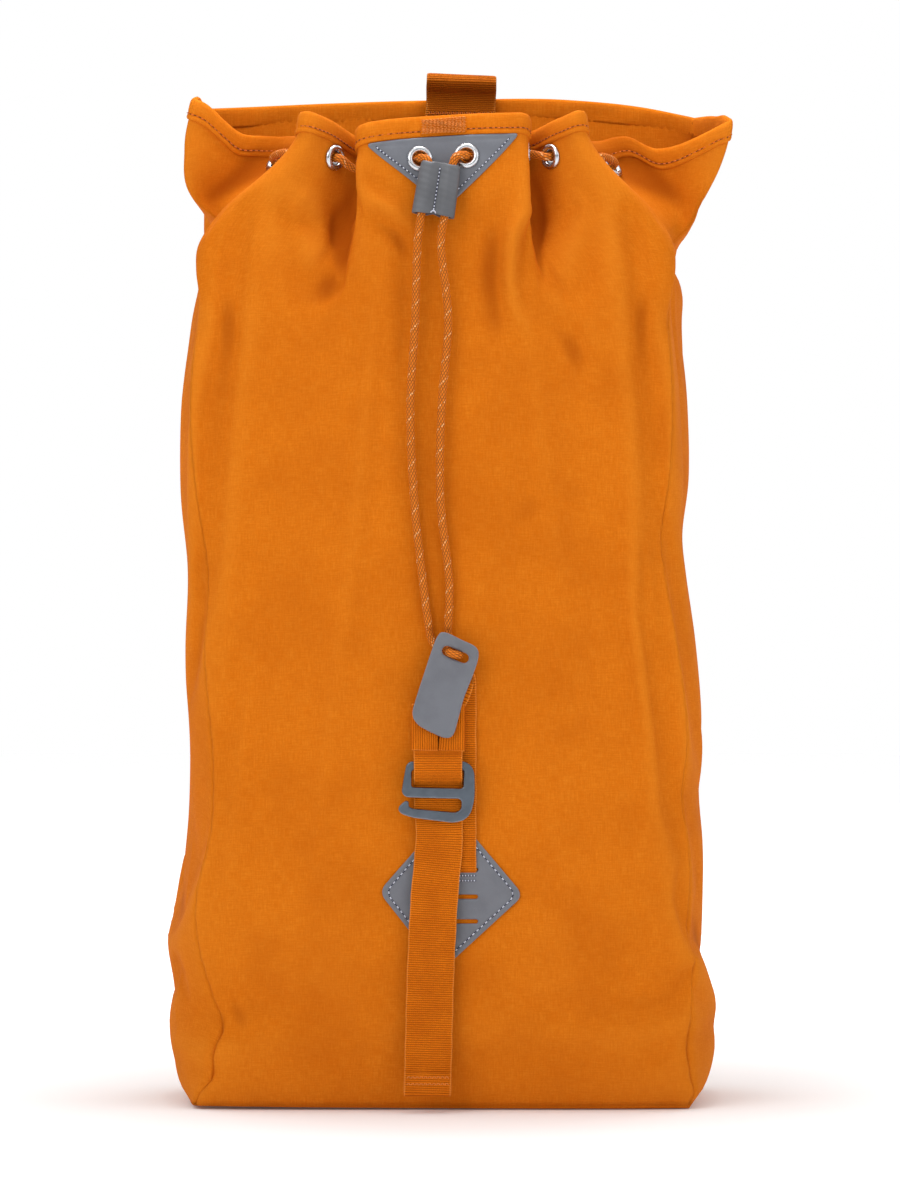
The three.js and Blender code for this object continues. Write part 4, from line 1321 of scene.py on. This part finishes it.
def on_mouth(x, z, height):
    """Lays a flat piece on the leaning front of the rim."""
    z = z + mouth_tilt(x, z)
    points, _ = on_cloth("front", x / FLAT_WIDTH * FLAT_SHARE, RIM_FRONT + z * math.cos(LEAN))
    flat = np.array([in_mouth(a, 0.3, b) for a, b in zip(x, z)])
    normal = unit(in_mouth(0, 1, 0) - in_mouth(0, 0, 0))
    proud = 0.5 + 0.6 * smoothstep(np.abs(x), 26, 40)
    return mix(points, flat, PATCH_STIFFNESS) + normal * (height + proud)[:, None]


def on_front(x, z, height):
    """Lays a flat piece on the upright front."""
    half = np.where(x < 0, -corner_x(-1, z), corner_x(1, z))
    points, _ = on_cloth("front", x / half, z)
    return np.stack([x, np.minimum(points[:, 1], -80.6) - height, z], -1)


def cord_patch():
    holes = []
    for side in ("left", "right"):
        centre, _ = eyelet_frame(f"patch_{side}")
        low = (centre[2] - RIM_FRONT) / math.cos(LEAN)
        middle = (centre[0], low - float(mouth_tilt(centre[0], low)))
        holes.append(np.array(arc(middle, EYELET_HOLE + 0.9, 0, 345, 24)))
    outline = rounded(PATCH_CORNERS, [3, 4, 3])
    patch = plate("cord_patch_leather", outline, holes, LEATHER, on_mouth, GREY_LEATHER, 2.6)
    belongs(patch, "root", "leather", "cord_patch")
    left, right = (-33.0, -11.4), (32.6, -11.4)
    line = rounded([left, (0.8, -44.2), right], [0.1, 2, 0.1])[7:14]
    line = [left] + [tuple(p) for p in line] + [right]
    row = laid_stitches("cord_patch_stitches", line, on_mouth, LEATHER + 0.05, 2.3, 1.45, 0.3, *PALE_STITCH)
    belongs(row, "root", "thread")


def diamond_patch():
    outline = rounded(DIAMOND, [5.5, 3, 5.5, 3])
    holes = [slot_outline(x, z, 13.4, 2.3) for x, z in SLOTS]
    patch = plate("diamond_patch_leather", outline, holes, LEATHER, on_front, GREY_LEATHER, 3.3)
    belongs(patch, "root", "leather", "diamond_patch")
    line = inset_line(DIAMOND, 2.8, 5)
    lift = LEATHER + 0.05
    row = laid_stitches("diamond_patch_stitches", line, on_front, lift, 3.0, 2.0, 0.32, *PALE_STITCH)
    belongs(row, "root", "thread")
    x, z = SLOTS[0]
    for i, drop in enumerate((3.0, 5.6)):
        bar = [(x - 12.2, z - drop), (x + 12.2, z - drop)]
        name = f"strap_anchor_stitches_{i + 1}"
        row = laid_stitches(name, bar, on_front, LEATHER + 0.1, 1.55, 1.2, 0.36, *PALE_STITCH)
        belongs(row, "root", "thread")


def patch_backing():
    """Hidden canvas square that takes the anchor stitching, inside the front."""
    low, high = (np.array(corner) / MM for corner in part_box("patch_backing"))
    us = np.linspace(low[0], high[0], 30)
    vs = np.linspace(low[2], high[2], 34)
    grid = np.stack(np.meshgrid(us, vs, indexing="ij"), -1)
    y = high[1] - 0.6 + 0.25 * np.sin(grid[..., 0] * 0.31) * np.sin(grid[..., 1] * 0.27)
    points = np.stack([grid[..., 0], y, grid[..., 1]], -1)[::-1]
    normal = np.zeros_like(points)
    normal[..., 1] = 1
    piece = sheet("patch_backing_cloth", points, normal, 1.0, CANVAS)
    belongs(piece, "root", "canvas", "patch_backing")


TAG_OUTLINE = [(1.0, 250.1), (9.6, 246.2), (17.0, 242.4), (18.3, 237.2), (15.4, 227.8), (10.7, 215.8),
               (7.5, 203.8), (5.2, 197.0), (1.4, 195.4), (-4.7, 197.6), (-12.6, 202.0), (-15.8, 207.4),
               (-14.4, 214.4), (-10.2, 227.6), (-6.2, 239.7), (-2.8, 248.2)]


def tag_place(x, z, height):
    """The tag hangs in front of the strap, a little dished."""
    sine, cosine = math.sin(TAG["lean"]), math.cos(TAG["lean"])
    along = (x - TAG["x"]) * sine + (z - TAG["z"]) * cosine
    aside = (x - TAG["x"]) * cosine - (z - TAG["z"]) * sine
    dish = 0.8 * (along / 26) ** 2 + 0.9 * (aside / 11) ** 2
    return np.stack([x, FRONT_PLANE - TAG["out"] - 0.2 - dish - height, z], -1)


def pull_tag():
    outline = smooth_outline(TAG_OUTLINE)
    slot = slot_outline(6.4, 238.6, 7.4, 5.2, -0.4)
    tag = plate("pull_tag_leather", outline, [slot], 2.2, tag_place, GREY_LEATHER, None, 0.7)
    belongs(tag, "pull_tag", "leather", "pull_tag")


def signed_power(value, power):
    return np.sign(value) * np.abs(value) ** power


def sleeve_section(count, swell=1.0):
    """Outline of the double tunnel: two round lobes with a pinched middle."""
    a = np.arange(count) * 2 * math.pi / count
    x = SLEEVE["width"] / 2 * signed_power(np.cos(a), 0.72)
    lobe = 0.5 + 0.5 * np.exp(-(((np.abs(x) - SLEEVE["spread"]) / 5.2) ** 2))
    pinch = 1 - 0.42 * np.exp(-((x / 1.7) ** 2))
    y = SLEEVE["depth"] / 2 * signed_power(np.sin(a), 0.6) * lobe * pinch * swell
    return x, y


def sleeve_levels(half):
    """Rows of the sleeve as (height, width, depth): down outside it, then back inside."""
    outer = [(-half, 1.0, 1.0), (-half + 0.4, 1.02, 1.05), (-half + 5, 1.01, 1.02), (-4, 1.0, 1.0),
             (4, 0.985, 0.98), (half - 6, 0.97, 0.96), (half - 2, 0.94, 0.94), (half - 0.4, 0.9, 0.88),
             (half, 0.86, 0.8)]
    inner = [(half, 0.76, 0.55), (half - 3, 0.78, 0.55), (-half + 5, 0.84, 0.62), (-half + 0.15, 0.86, 0.66)]
    fine = []
    for rows in (outer, inner):
        for low, high in zip(rows, rows[1:]):
            steps = max(int(abs(high[0] - low[0]) / 0.8), 1)
            fine += [tuple(mix(a, b, s / steps) for a, b in zip(low, high)) for s in range(steps)]
        fine.append(rows[-1])
    return fine


def cord_sleeve():
    """The leather double tunnel round both cords."""
    count = 72
    half = SLEEVE["height"] / 2
    levels = sleeve_levels(half)
    x, y = sleeve_section(count)
    ears = np.exp(-(((np.abs(x) - 6) / 3) ** 2))
    grid = []
    for z, w, d in levels:
        sag = 0.9 * np.exp(-((x / 2.4) ** 2)) * (z < -half + 2) - 0.5 * ears * (z > half - 2)
        ripple = 0.12 * np.sin(z * 1.9 + x * 0.4) + 0.1 * np.sin(x * 1.3 + 1)
        grid += [in_sleeve(a * w, b * d + r * np.sign(b), z + s) for a, b, r, s in zip(x, y, ripple, sag)]
    faces = np.roll(ring_faces(len(levels), count), -1, 1)
    body = new_object("cord_sleeve_leather", grid, faces, SLEEVE_LEATHER)
    mark(body, "edge", np.repeat([float(abs(abs(z) - half) < 0.3) for z, _, _ in levels], count))
    belongs(body, "cord_sleeve", "leather", "cord_sleeve")
    sleeve_stitches(half)


def sleeve_stitches(half):
    """The stitches between the two tunnels, and the loose thread ends below them."""
    depth = SLEEVE["depth"] / 2 * 0.62
    line = np.array([in_sleeve(0.0, depth, z) for z in np.linspace(half - 2.5, -half + 3.5, 30)])
    out = np.tile(in_sleeve(0, 1, 0) - in_sleeve(0, 0, 0), (30, 1))
    row = stitch_row("cord_sleeve_stitches", *along_path(line, out, 2.0), 1.25, 0.3, *PALE_STITCH)
    belongs(row, "cord_sleeve", "thread")
    foot = [(0, -half + 2.6, 0.0), (-0.8, -half + 1.6, 0.7), (0.8, -half + 1.6, -0.7)]
    centres = [in_sleeve(a, depth + 0.15, z) for a, z, _ in foot]
    alongs = [in_sleeve(a + math.sin(turn), 0, z + math.cos(turn)) - in_sleeve(a, 0, z)
              for a, z, turn in foot]
    yarn = stitch_row("cord_sleeve_thread_end", centres, alongs, out[:3], 1.9, 0.34, THREAD_PALE)
    belongs(yarn, "cord_sleeve", "thread")


# ---------------------------------------------------------------- webbing


def webbing_material(name, shade=0.0):
    """Ribbed webbing: ribs across it and a finer beat along it, with painted shade between them, and edges
    paled by a painted highlight; shade darkens it all with painted shade.
    """
    s = Shader(name, 0.8, 0.05)
    where = s.place(uv=True)
    u, v, _ = s.split(where)
    along = s.math("ADD", v, s.math("MULTIPLY", s.noise(where, 300, 2), 0.00025))
    ribs = s.math("ABSOLUTE", s.wave(along, math.pi / (1.15 * MM)))
    ends = s.math("ABSOLUTE", s.wave(u, math.pi / (1.0 * MM)))
    grain = s.noise(s.place(), 1400, 3, 0.6)
    cloud = s.noise(s.place(), 70, 3)
    # Painted shade between the ribs and between the ends along them.
    tone = s.tint(srgb(132, 56, 3), srgb(214, 112, 16), ribs, 0.05, 0.6)
    tone = s.tint(tone, srgb(150, 66, 6), ends, 0.0, 0.5, 0.22, 0.0)
    tone = s.tint(tone, srgb(146, 64, 4), grain, 0.42, 0.75, 0.0, 0.3)
    tone = s.tint(tone, CANVAS_DARK, cloud, 0.35, 0.7, 0.0, 0.3)
    # Painted highlight along the edges.
    tone = s.tint(tone, srgb(238, 150, 66), s.attribute("edge"), 0.4, 0.9, 0.0, 0.45)
    tone = s.blend(shade, tone, srgb(92, 44, 6))
    return s.finish(tone, s.total((ribs, 0.8), (ends, 0.25), (grain, 0.35)), 0.0004)


WEBBING = webbing_material("ribbed_webbing")
# The haul loop's webbing, darkened all over by painted shade.
SHADED_WEBBING = webbing_material("painted_shade_loop_webbing", 0.5)
WEB_WIDTH = 25.0
WEB_THICK = 1.6


def ribbon(name, path, across, width, thick, seed, material=WEBBING):
    """Webbing along a centre path; across is the direction of its width. Points are in millimetres."""
    path, at = smooth_path(path, 0.7)
    heads = unit(np.gradient(path, axis=0))
    across = np.broadcast_to(np.asarray(across, float), path.shape)
    asides = unit(across - heads * (across * heads).sum(-1, keepdims=True))
    outs = np.cross(asides, heads)
    shares = np.sin(np.linspace(-math.pi / 2, math.pi / 2, 17))
    half = width / 2
    edge = [0.1 * math.exp(-(((abs(u) - 0.93) / 0.04) ** 2)) for u in shares]
    section = [(half * u, thick / 2 * (1 - 0.5 * abs(u) ** 14) + e) for u, e in zip(shares, edge)]
    ring = section + [(half * 1.006, 0.0)] + [(x, -y) for x, y in section[::-1]] + [(-half * 1.006, 0.0)]
    wave = 0.1 * np.sin(at * 0.31 + seed) + 0.03 * np.sin(at * 0.83 + 2 * seed)
    cup = 0.18 * np.sin(at * 0.19 + seed)
    grid = []
    for x, y in ring:
        side = x + wave * np.sign(x) * (abs(x) > 0.8 * half)
        grid.append(path + asides * side[:, None] + outs * (y + cup * (x / half) ** 2)[:, None])
    grid = np.stack(grid, 1)
    count, around = grid.shape[:2]
    obj = new_object(name, grid.reshape(-1, 3), tube_faces(count, around), material)
    uv = np.zeros((count, around, 2))
    uv[..., 0] = np.array([x for x, _ in ring])[None] * MM
    uv[..., 1] = at[:, None] * MM
    lay_uv(obj, uv.reshape(-1, 2))
    mark(obj, "edge", np.tile([float(abs(x) > 0.95 * half) for x, _ in ring], count))
    return obj


def zigzag(x0, x1, z, height, step):
    count = int(abs(x1 - x0) / step)
    return [(mix(x0, x1, i / count), z + height * (0.5 if i % 2 else -0.5)) for i in range(count + 1)]


def strap_point(offset, z, x):
    return vec(x, FRONT_PLANE - offset, z)


# Centre of the strap as (distance in front of the cloth, z, x), from its anchor up and down to the hook.
HOOK_X, HOOK_Z, HOOK_OFF, HOOK_THICK = -3.0, 167.5, 6.6, 3.6
STRAP_STATIONS = [
    (-0.6, 125.4, 4.7), (1.6, 125.7, 4.7), (2.9, 127.4, 4.7), (3.3, 132, 4.7), (3.2, 150, 4.7),
    (3.3, 175, 4.7), (3.2, 200, 4.7), (3.3, 221, 4.7), (3.8, 225, 4.4), (5.1, 226.6, 3.9), (6.5, 225, 3.3),
    (7.0, 221, 2.2), (7.0, 214, -1.0), (7.0, 207, -2.5), (7.05, 199, -2.6), (7.1, 190.5, -2.6),
    (9.2, 187.6, -2.6),
    (12.2, 185.0, -2.6), (12.9, 181, -2.6), (12.0, 177.2, -2.6), (8.8, 173.8, -2.6), (6.0, 170.8, -2.6),
    (5.4, 167, -2.6), (5.4, 160, -2.6), (5.4, 153.4, -2.6),
]


def hook_strap():
    path = [strap_point(*station) for station in STRAP_STATIONS]
    strap = ribbon("hook_strap_webbing", path, (1, 0, 0), WEB_WIDTH, WEB_THICK, 0.4)
    belongs(strap, "root", "webbing", "hook_strap")


def tail_x(z):
    return follow([(10, -8.2), (40, -7.4), (70, -6.6), (110, -4.7), (150, -2.0), (158, -2.4)], z)


def tail_offset(z):
    return follow([(10, 5.6), (40, 6.6), (80, 7.4), (120, 6.8), (146, 5.6), (158, 5.3)], z)


def strap_tail():
    path = [strap_point(float(tail_offset(z)), z, float(tail_x(z))) for z in np.linspace(156.5, 10.6, 13)]
    tail = ribbon("strap_tail_webbing", path, (1, 0, 0), WEB_WIDTH - 0.6, WEB_THICK, 1.3)
    bends(tail, "strap_tail", "webbing", "root", "strap_tail", (0, -0.0854, 0.1555), (0, -0.0854, 0.1440))
    path = [strap_point(float(tail_offset(z)) + 1.5, z, float(tail_x(z))) for z in (21.5, 19, 14, 12, 10.9)]
    path.append(strap_point(float(tail_offset(10.6)) + 0.6, 9.9, float(tail_x(10.6))))
    fold = ribbon("strap_tail_hem_webbing", path, (1, 0, 0), WEB_WIDTH - 0.9, WEB_THICK - 0.2, 2.2)
    belongs(fold, "strap_tail", "webbing")

    def place(x, z, height):
        y = FRONT_PLANE - tail_offset(z) - 1.5 - WEB_THICK / 2 + 0.1 - height
        return np.stack([x + tail_x(z), y, z], -1)

    for i, z in enumerate((19.3, 15.8)):
        line = zigzag(-11.0, 11.0, z, 1.5, 1.1)
        row = laid_stitches(f"strap_tail_stitches_{i + 1}", line, place, 0.08, 1.85, 1.6, 0.3, THREAD_LIGHT)
        belongs(row, "strap_tail", "thread")


def strap_keeper():
    """A crosswise band of webbing whose ends butt at a slit in front."""
    half, deep, slit = 13.4, 1.95, 0.5
    corners = [(-half, -deep), (half, -deep), (half, deep), (-half, deep)]
    turns = rounded(corners, 1.9, 5).reshape(4, 6, 2).tolist()
    loop = [(slit - 0.55, deep), (-5, deep)] + turns[3] + [(-half, 0.0)] + turns[0] + [(0.0, -deep)]
    loop += turns[1] + [(half, 0.0)] + turns[2] + [(5, deep), (slit + 0.55, deep)]
    path = [vec(-2.6 + x, FRONT_PLANE - 7 - y, 200.9 - 0.35 * smoothstep(x, 0, 6)) for x, y in loop]
    keeper = ribbon("strap_keeper_webbing", path, (0, 0, 1), 24.2, 1.15, 0.9)
    belongs(keeper, "strap_keeper", "webbing", "strap_keeper")


LOOP_X = 9.3
LOOP_WIDTH = 38
LOOP_FACE, ANCHOR_FACE = 60.2 - 0.75, 61.6 - 1.75
LOOP_PATH = [(60.4, 524), (60.2, 530), (60.6, 535), (61.4, 540.5), (59.6, 544.5), (56.0, 547.6),
             (54.4, 550.6), (56.6, 553.3), (61.0, 553.6), (64.0, 551), (64.4, 546), (64.0, 538), (63.4, 531),
             (63.2, 524)]


def haul_loop():
    path = [vec(LOOP_X + 0.03 * (z - 530), y, z) for y, z in LOOP_PATH]
    loop = ribbon("haul_loop_webbing", path, (1, 0, -0.045), LOOP_WIDTH, 1.7, 0.2, SHADED_WEBBING)
    bends(loop, "haul_loop", "webbing", "root", "haul_loop", (0.0093, 0.0606, 0.525), (0.0093, 0.0606, 0.535))
    path = [vec(LOOP_X, y, z) for y, z in ((61.8, 529), (61.6, 520), (61.9, 512), (62.2, 502.5))]
    anchor = ribbon("loop_anchor_webbing", path, (1, 0, 0), LOOP_WIDTH, 3.2, 1.1)
    belongs(anchor, "root", "webbing", "loop_anchor")
    rows = ((533.4, LOOP_FACE, "haul_loop"), (531.2, LOOP_FACE, "root"), (526.0, ANCHOR_FACE, "root"))
    for i, (level, face, body) in enumerate(rows):
        line = zigzag(LOOP_X - 17.5, LOOP_X + 17.5, level, 1.6, 1.2)
        name = f"haul_loop_stitches_{i + 1}"

        def place(x, z, height, y=face):
            return np.stack([x, y - height, z], -1)

        row = laid_stitches(name, line, place, 0.1, 2.0, 1.7, 0.3, THREAD_ORANGE, HOLE_SHADE_BROWN)
        belongs(row, body, "thread")


HOOK_OUTLINE = [(-14.4, 15.6), (15.4, 15.8), (19.3, 11.2), (19.6, -4.4), (16.6, -13.4), (9.8, -16.4),
                (-13.7, -13.4), (-19.4, -11.2), (-20.6, -8.4), (-16.4, -4.4), (-14.7, -5.3), (-14.9, -7.9),
                (-12.4, -8.9), (9.6, -10.9), (12.3, -9.4), (12.7, -5.0), (11.6, -3.7), (-16.2, -2.9),
                (-18.6, -0.6), (-17.9, 4.0), (-16.2, 13.6)]
HOOK_TURNS = [1.4, 3.6, 3.4, 6, 4, 4, 4, 2, 1.8, 1.3, 0.8, 0.9, 1.2, 1.5, 1.2, 1.2, 0.9, 1.6, 1.8, 3, 1.2]
HOOK_WINDOW = [(-13.6, 2.2), (13.6, 1.6), (13.7, 11.4), (-13.2, 11.4)]


def gate_hook():
    """The flat hook: an outline with a window, its edges rounded off."""
    # The last colour is the painted highlight on the hook's downward faces.
    metal = metal_material("gunmetal", srgb(100, 108, 118), 0.3, 0.2, srgb(178, 188, 200))

    def place(x, z, height):
        return np.stack([HOOK_X + x, FRONT_PLANE - HOOK_OFF - height, HOOK_Z + z], -1)

    outline, window = rounded(HOOK_OUTLINE, HOOK_TURNS, 5), rounded(HOOK_WINDOW, 1.6, 5)
    rough = plate("hook_block", outline, [window], HOOK_THICK, place, metal, None, 0.0, 50.0)
    remesh = rough.modifiers.new("blocks", "REMESH")
    remesh.mode = "VOXEL"
    remesh.voxel_size = 0.36 * MM
    soft = rough.modifiers.new("wear_and_underside_highlight", "SMOOTH")
    soft.factor = 0.5
    soft.iterations = 9
    mesh = bpy.data.meshes.new_from_object(rough.evaluated_get(bpy.context.evaluated_depsgraph_get()))
    bpy.data.objects.remove(rough)
    mesh.materials.clear()
    mesh.materials.append(metal)
    belongs(in_scene("gate_hook_metal", mesh), "gate_hook", "hook_metal", "gate_hook")


def base_stiffener():
    """The flat board that keeps the bottom square."""
    board = plain_material("grey_board", srgb(150, 146, 138), 0.9, 260, 0.1)
    low, high = (np.array(corner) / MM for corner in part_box("base_stiffener"))
    corners = [(low[0], low[1]), (high[0], low[1]), (high[0], high[1]), (low[0], high[1])]

    def place(x, z, height):
        return np.stack([x, z, low[2] + height], -1)

    sheet_board = plate("base_stiffener_board", rounded(corners, 14), [], 2.4, place, board, None, 0.5, 12.0)
    belongs(sheet_board, "root", "stiffener_board", "base_stiffener")


# ---------------------------------------------------------------- stage

# The camera sees PHOTO_HEIGHT millimetres at the front plane. Each lamp is (name, place, size, watts).
PHOTO_HEIGHT = 624.0
VIEW_CENTRE = (3.6, 266.8)
VIEW_DISTANCE = 2600.0
SKY_LIGHT = 0.57
SKY_SEEN = 1.0
FLOOR_HALF = 6000.0
LAMPS = [
    ("key", (-1.5, -2.1, 1.55), 1.6, 22.5),
    ("fill", (1.9, -1.6, 0.9), 1.8, 11),
    ("top", (0.0, -1.3, 2.4), 1.6, 6),
    ("mouth", (0.0, -0.02, 0.95), 0.3, 3.2),
    ("back_left", (-1.6, 1.9, 1.4), 1.6, 12),
    ("back_right", (1.6, 1.9, 1.4), 1.6, 12),
]


def camera():
    scene = bpy.context.scene
    lens = bpy.data.cameras.new("camera")
    lens.sensor_width = 36.0
    lens.lens = lens.sensor_width * VIEW_DISTANCE / PHOTO_HEIGHT
    lens.clip_end = 50
    rig = bpy.data.objects.new("camera", lens)
    rig.location = (VIEW_CENTRE[0] * MM, (FRONT_PLANE - VIEW_DISTANCE) * MM, VIEW_CENTRE[1] * MM)
    rig.rotation_euler = (math.radians(90), 0, 0)
    scene.collection.objects.link(rig)
    scene.camera = rig


def sky():
    """A white sky, less bright as light than it looks, and graded with height in mirrored rays."""
    world = bpy.data.worlds.new("studio")
    world.use_nodes = True
    tree = world.node_tree
    path = tree.nodes.new("ShaderNodeLightPath").outputs
    ray = tree.nodes.new("ShaderNodeTexCoord").outputs["Generated"]
    split = tree.nodes.new("ShaderNodeSeparateXYZ")
    tree.links.new(ray, split.inputs[0])

    def step(source, low, high):
        node = tree.nodes.new("ShaderNodeMapRange")
        node.inputs[3].default_value = low
        node.inputs[4].default_value = high
        tree.links.new(source, node.inputs[0])
        return node

    mirrored = step(split.outputs["Z"], 0.05, 0.9)
    mirrored.inputs[1].default_value = 0.0
    mirrored.inputs[2].default_value = 0.35
    glossy = step(path["Is Glossy Ray"], SKY_LIGHT, 0)
    tree.links.new(mirrored.outputs[0], glossy.inputs[4])
    seen = step(path["Is Camera Ray"], 0, SKY_SEEN)
    tree.links.new(glossy.outputs[0], seen.inputs[3])
    tree.links.new(seen.outputs[0], tree.nodes["Background"].inputs[1])
    tree.nodes["Background"].inputs[0].default_value = (1, 1, 1, 1)
    bpy.context.scene.world = world


def lights():
    scene = bpy.context.scene
    scene.view_settings.view_transform = "Standard"
    scene.view_settings.look = "None"
    for name, place, size, power in LAMPS:
        lamp = bpy.data.lights.new(name, "AREA")
        lamp.shape = "SQUARE"
        lamp.size = size
        lamp.energy = power
        holder = bpy.data.objects.new(name, lamp)
        holder.location = place
        aim = Vector((0, 0, 0.28)) - Vector(place)
        holder.rotation_euler = aim.to_track_quat("-Z", "Y").to_euler()
        scene.collection.objects.link(holder)


def floor():
    pale = Shader("floor_paper", 0.9)
    away = pale.add("ShaderNodeVectorMath", {"operation": "LENGTH"})
    pale.put(away.inputs[0], pale.place())
    # Painted light: the floor glows, faintly beside the bag and more further off, so it reads white away from
    # the bag's shadow.
    pale.surface.inputs["Emission Color"].default_value = (1, 1, 1, 1)
    pale.put(pale.surface.inputs["Emission Strength"], pale.band(away.outputs["Value"], 0.1, 0.6, 0.04, 0.44))
    speck = pale.band(pale.noise(pale.place(), 40, 3), 0.2, 0.8, 0.0, 0.04)
    paper = pale.finish(pale.blend(speck, (0.93, 0.93, 0.93, 1), (0.8, 0.8, 0.8, 1)))
    corners = [(x * FLOOR_HALF, y * FLOOR_HALF, 0) for x, y in ((-1, -1), (1, -1), (1, 1), (-1, 1))]
    new_object("floor", corners, [(0, 1, 2, 3)], paper, False)


for build in (cloth_panels, rim_hem, hem_overlap, eyelets, cords, cord_bight, cord_patch, diamond_patch,
              patch_backing, pull_tag, cord_sleeve, hook_strap, strap_tail, strap_keeper, haul_loop,
              gate_hook, base_stiffener, camera, sky, lights, floor):
    build()
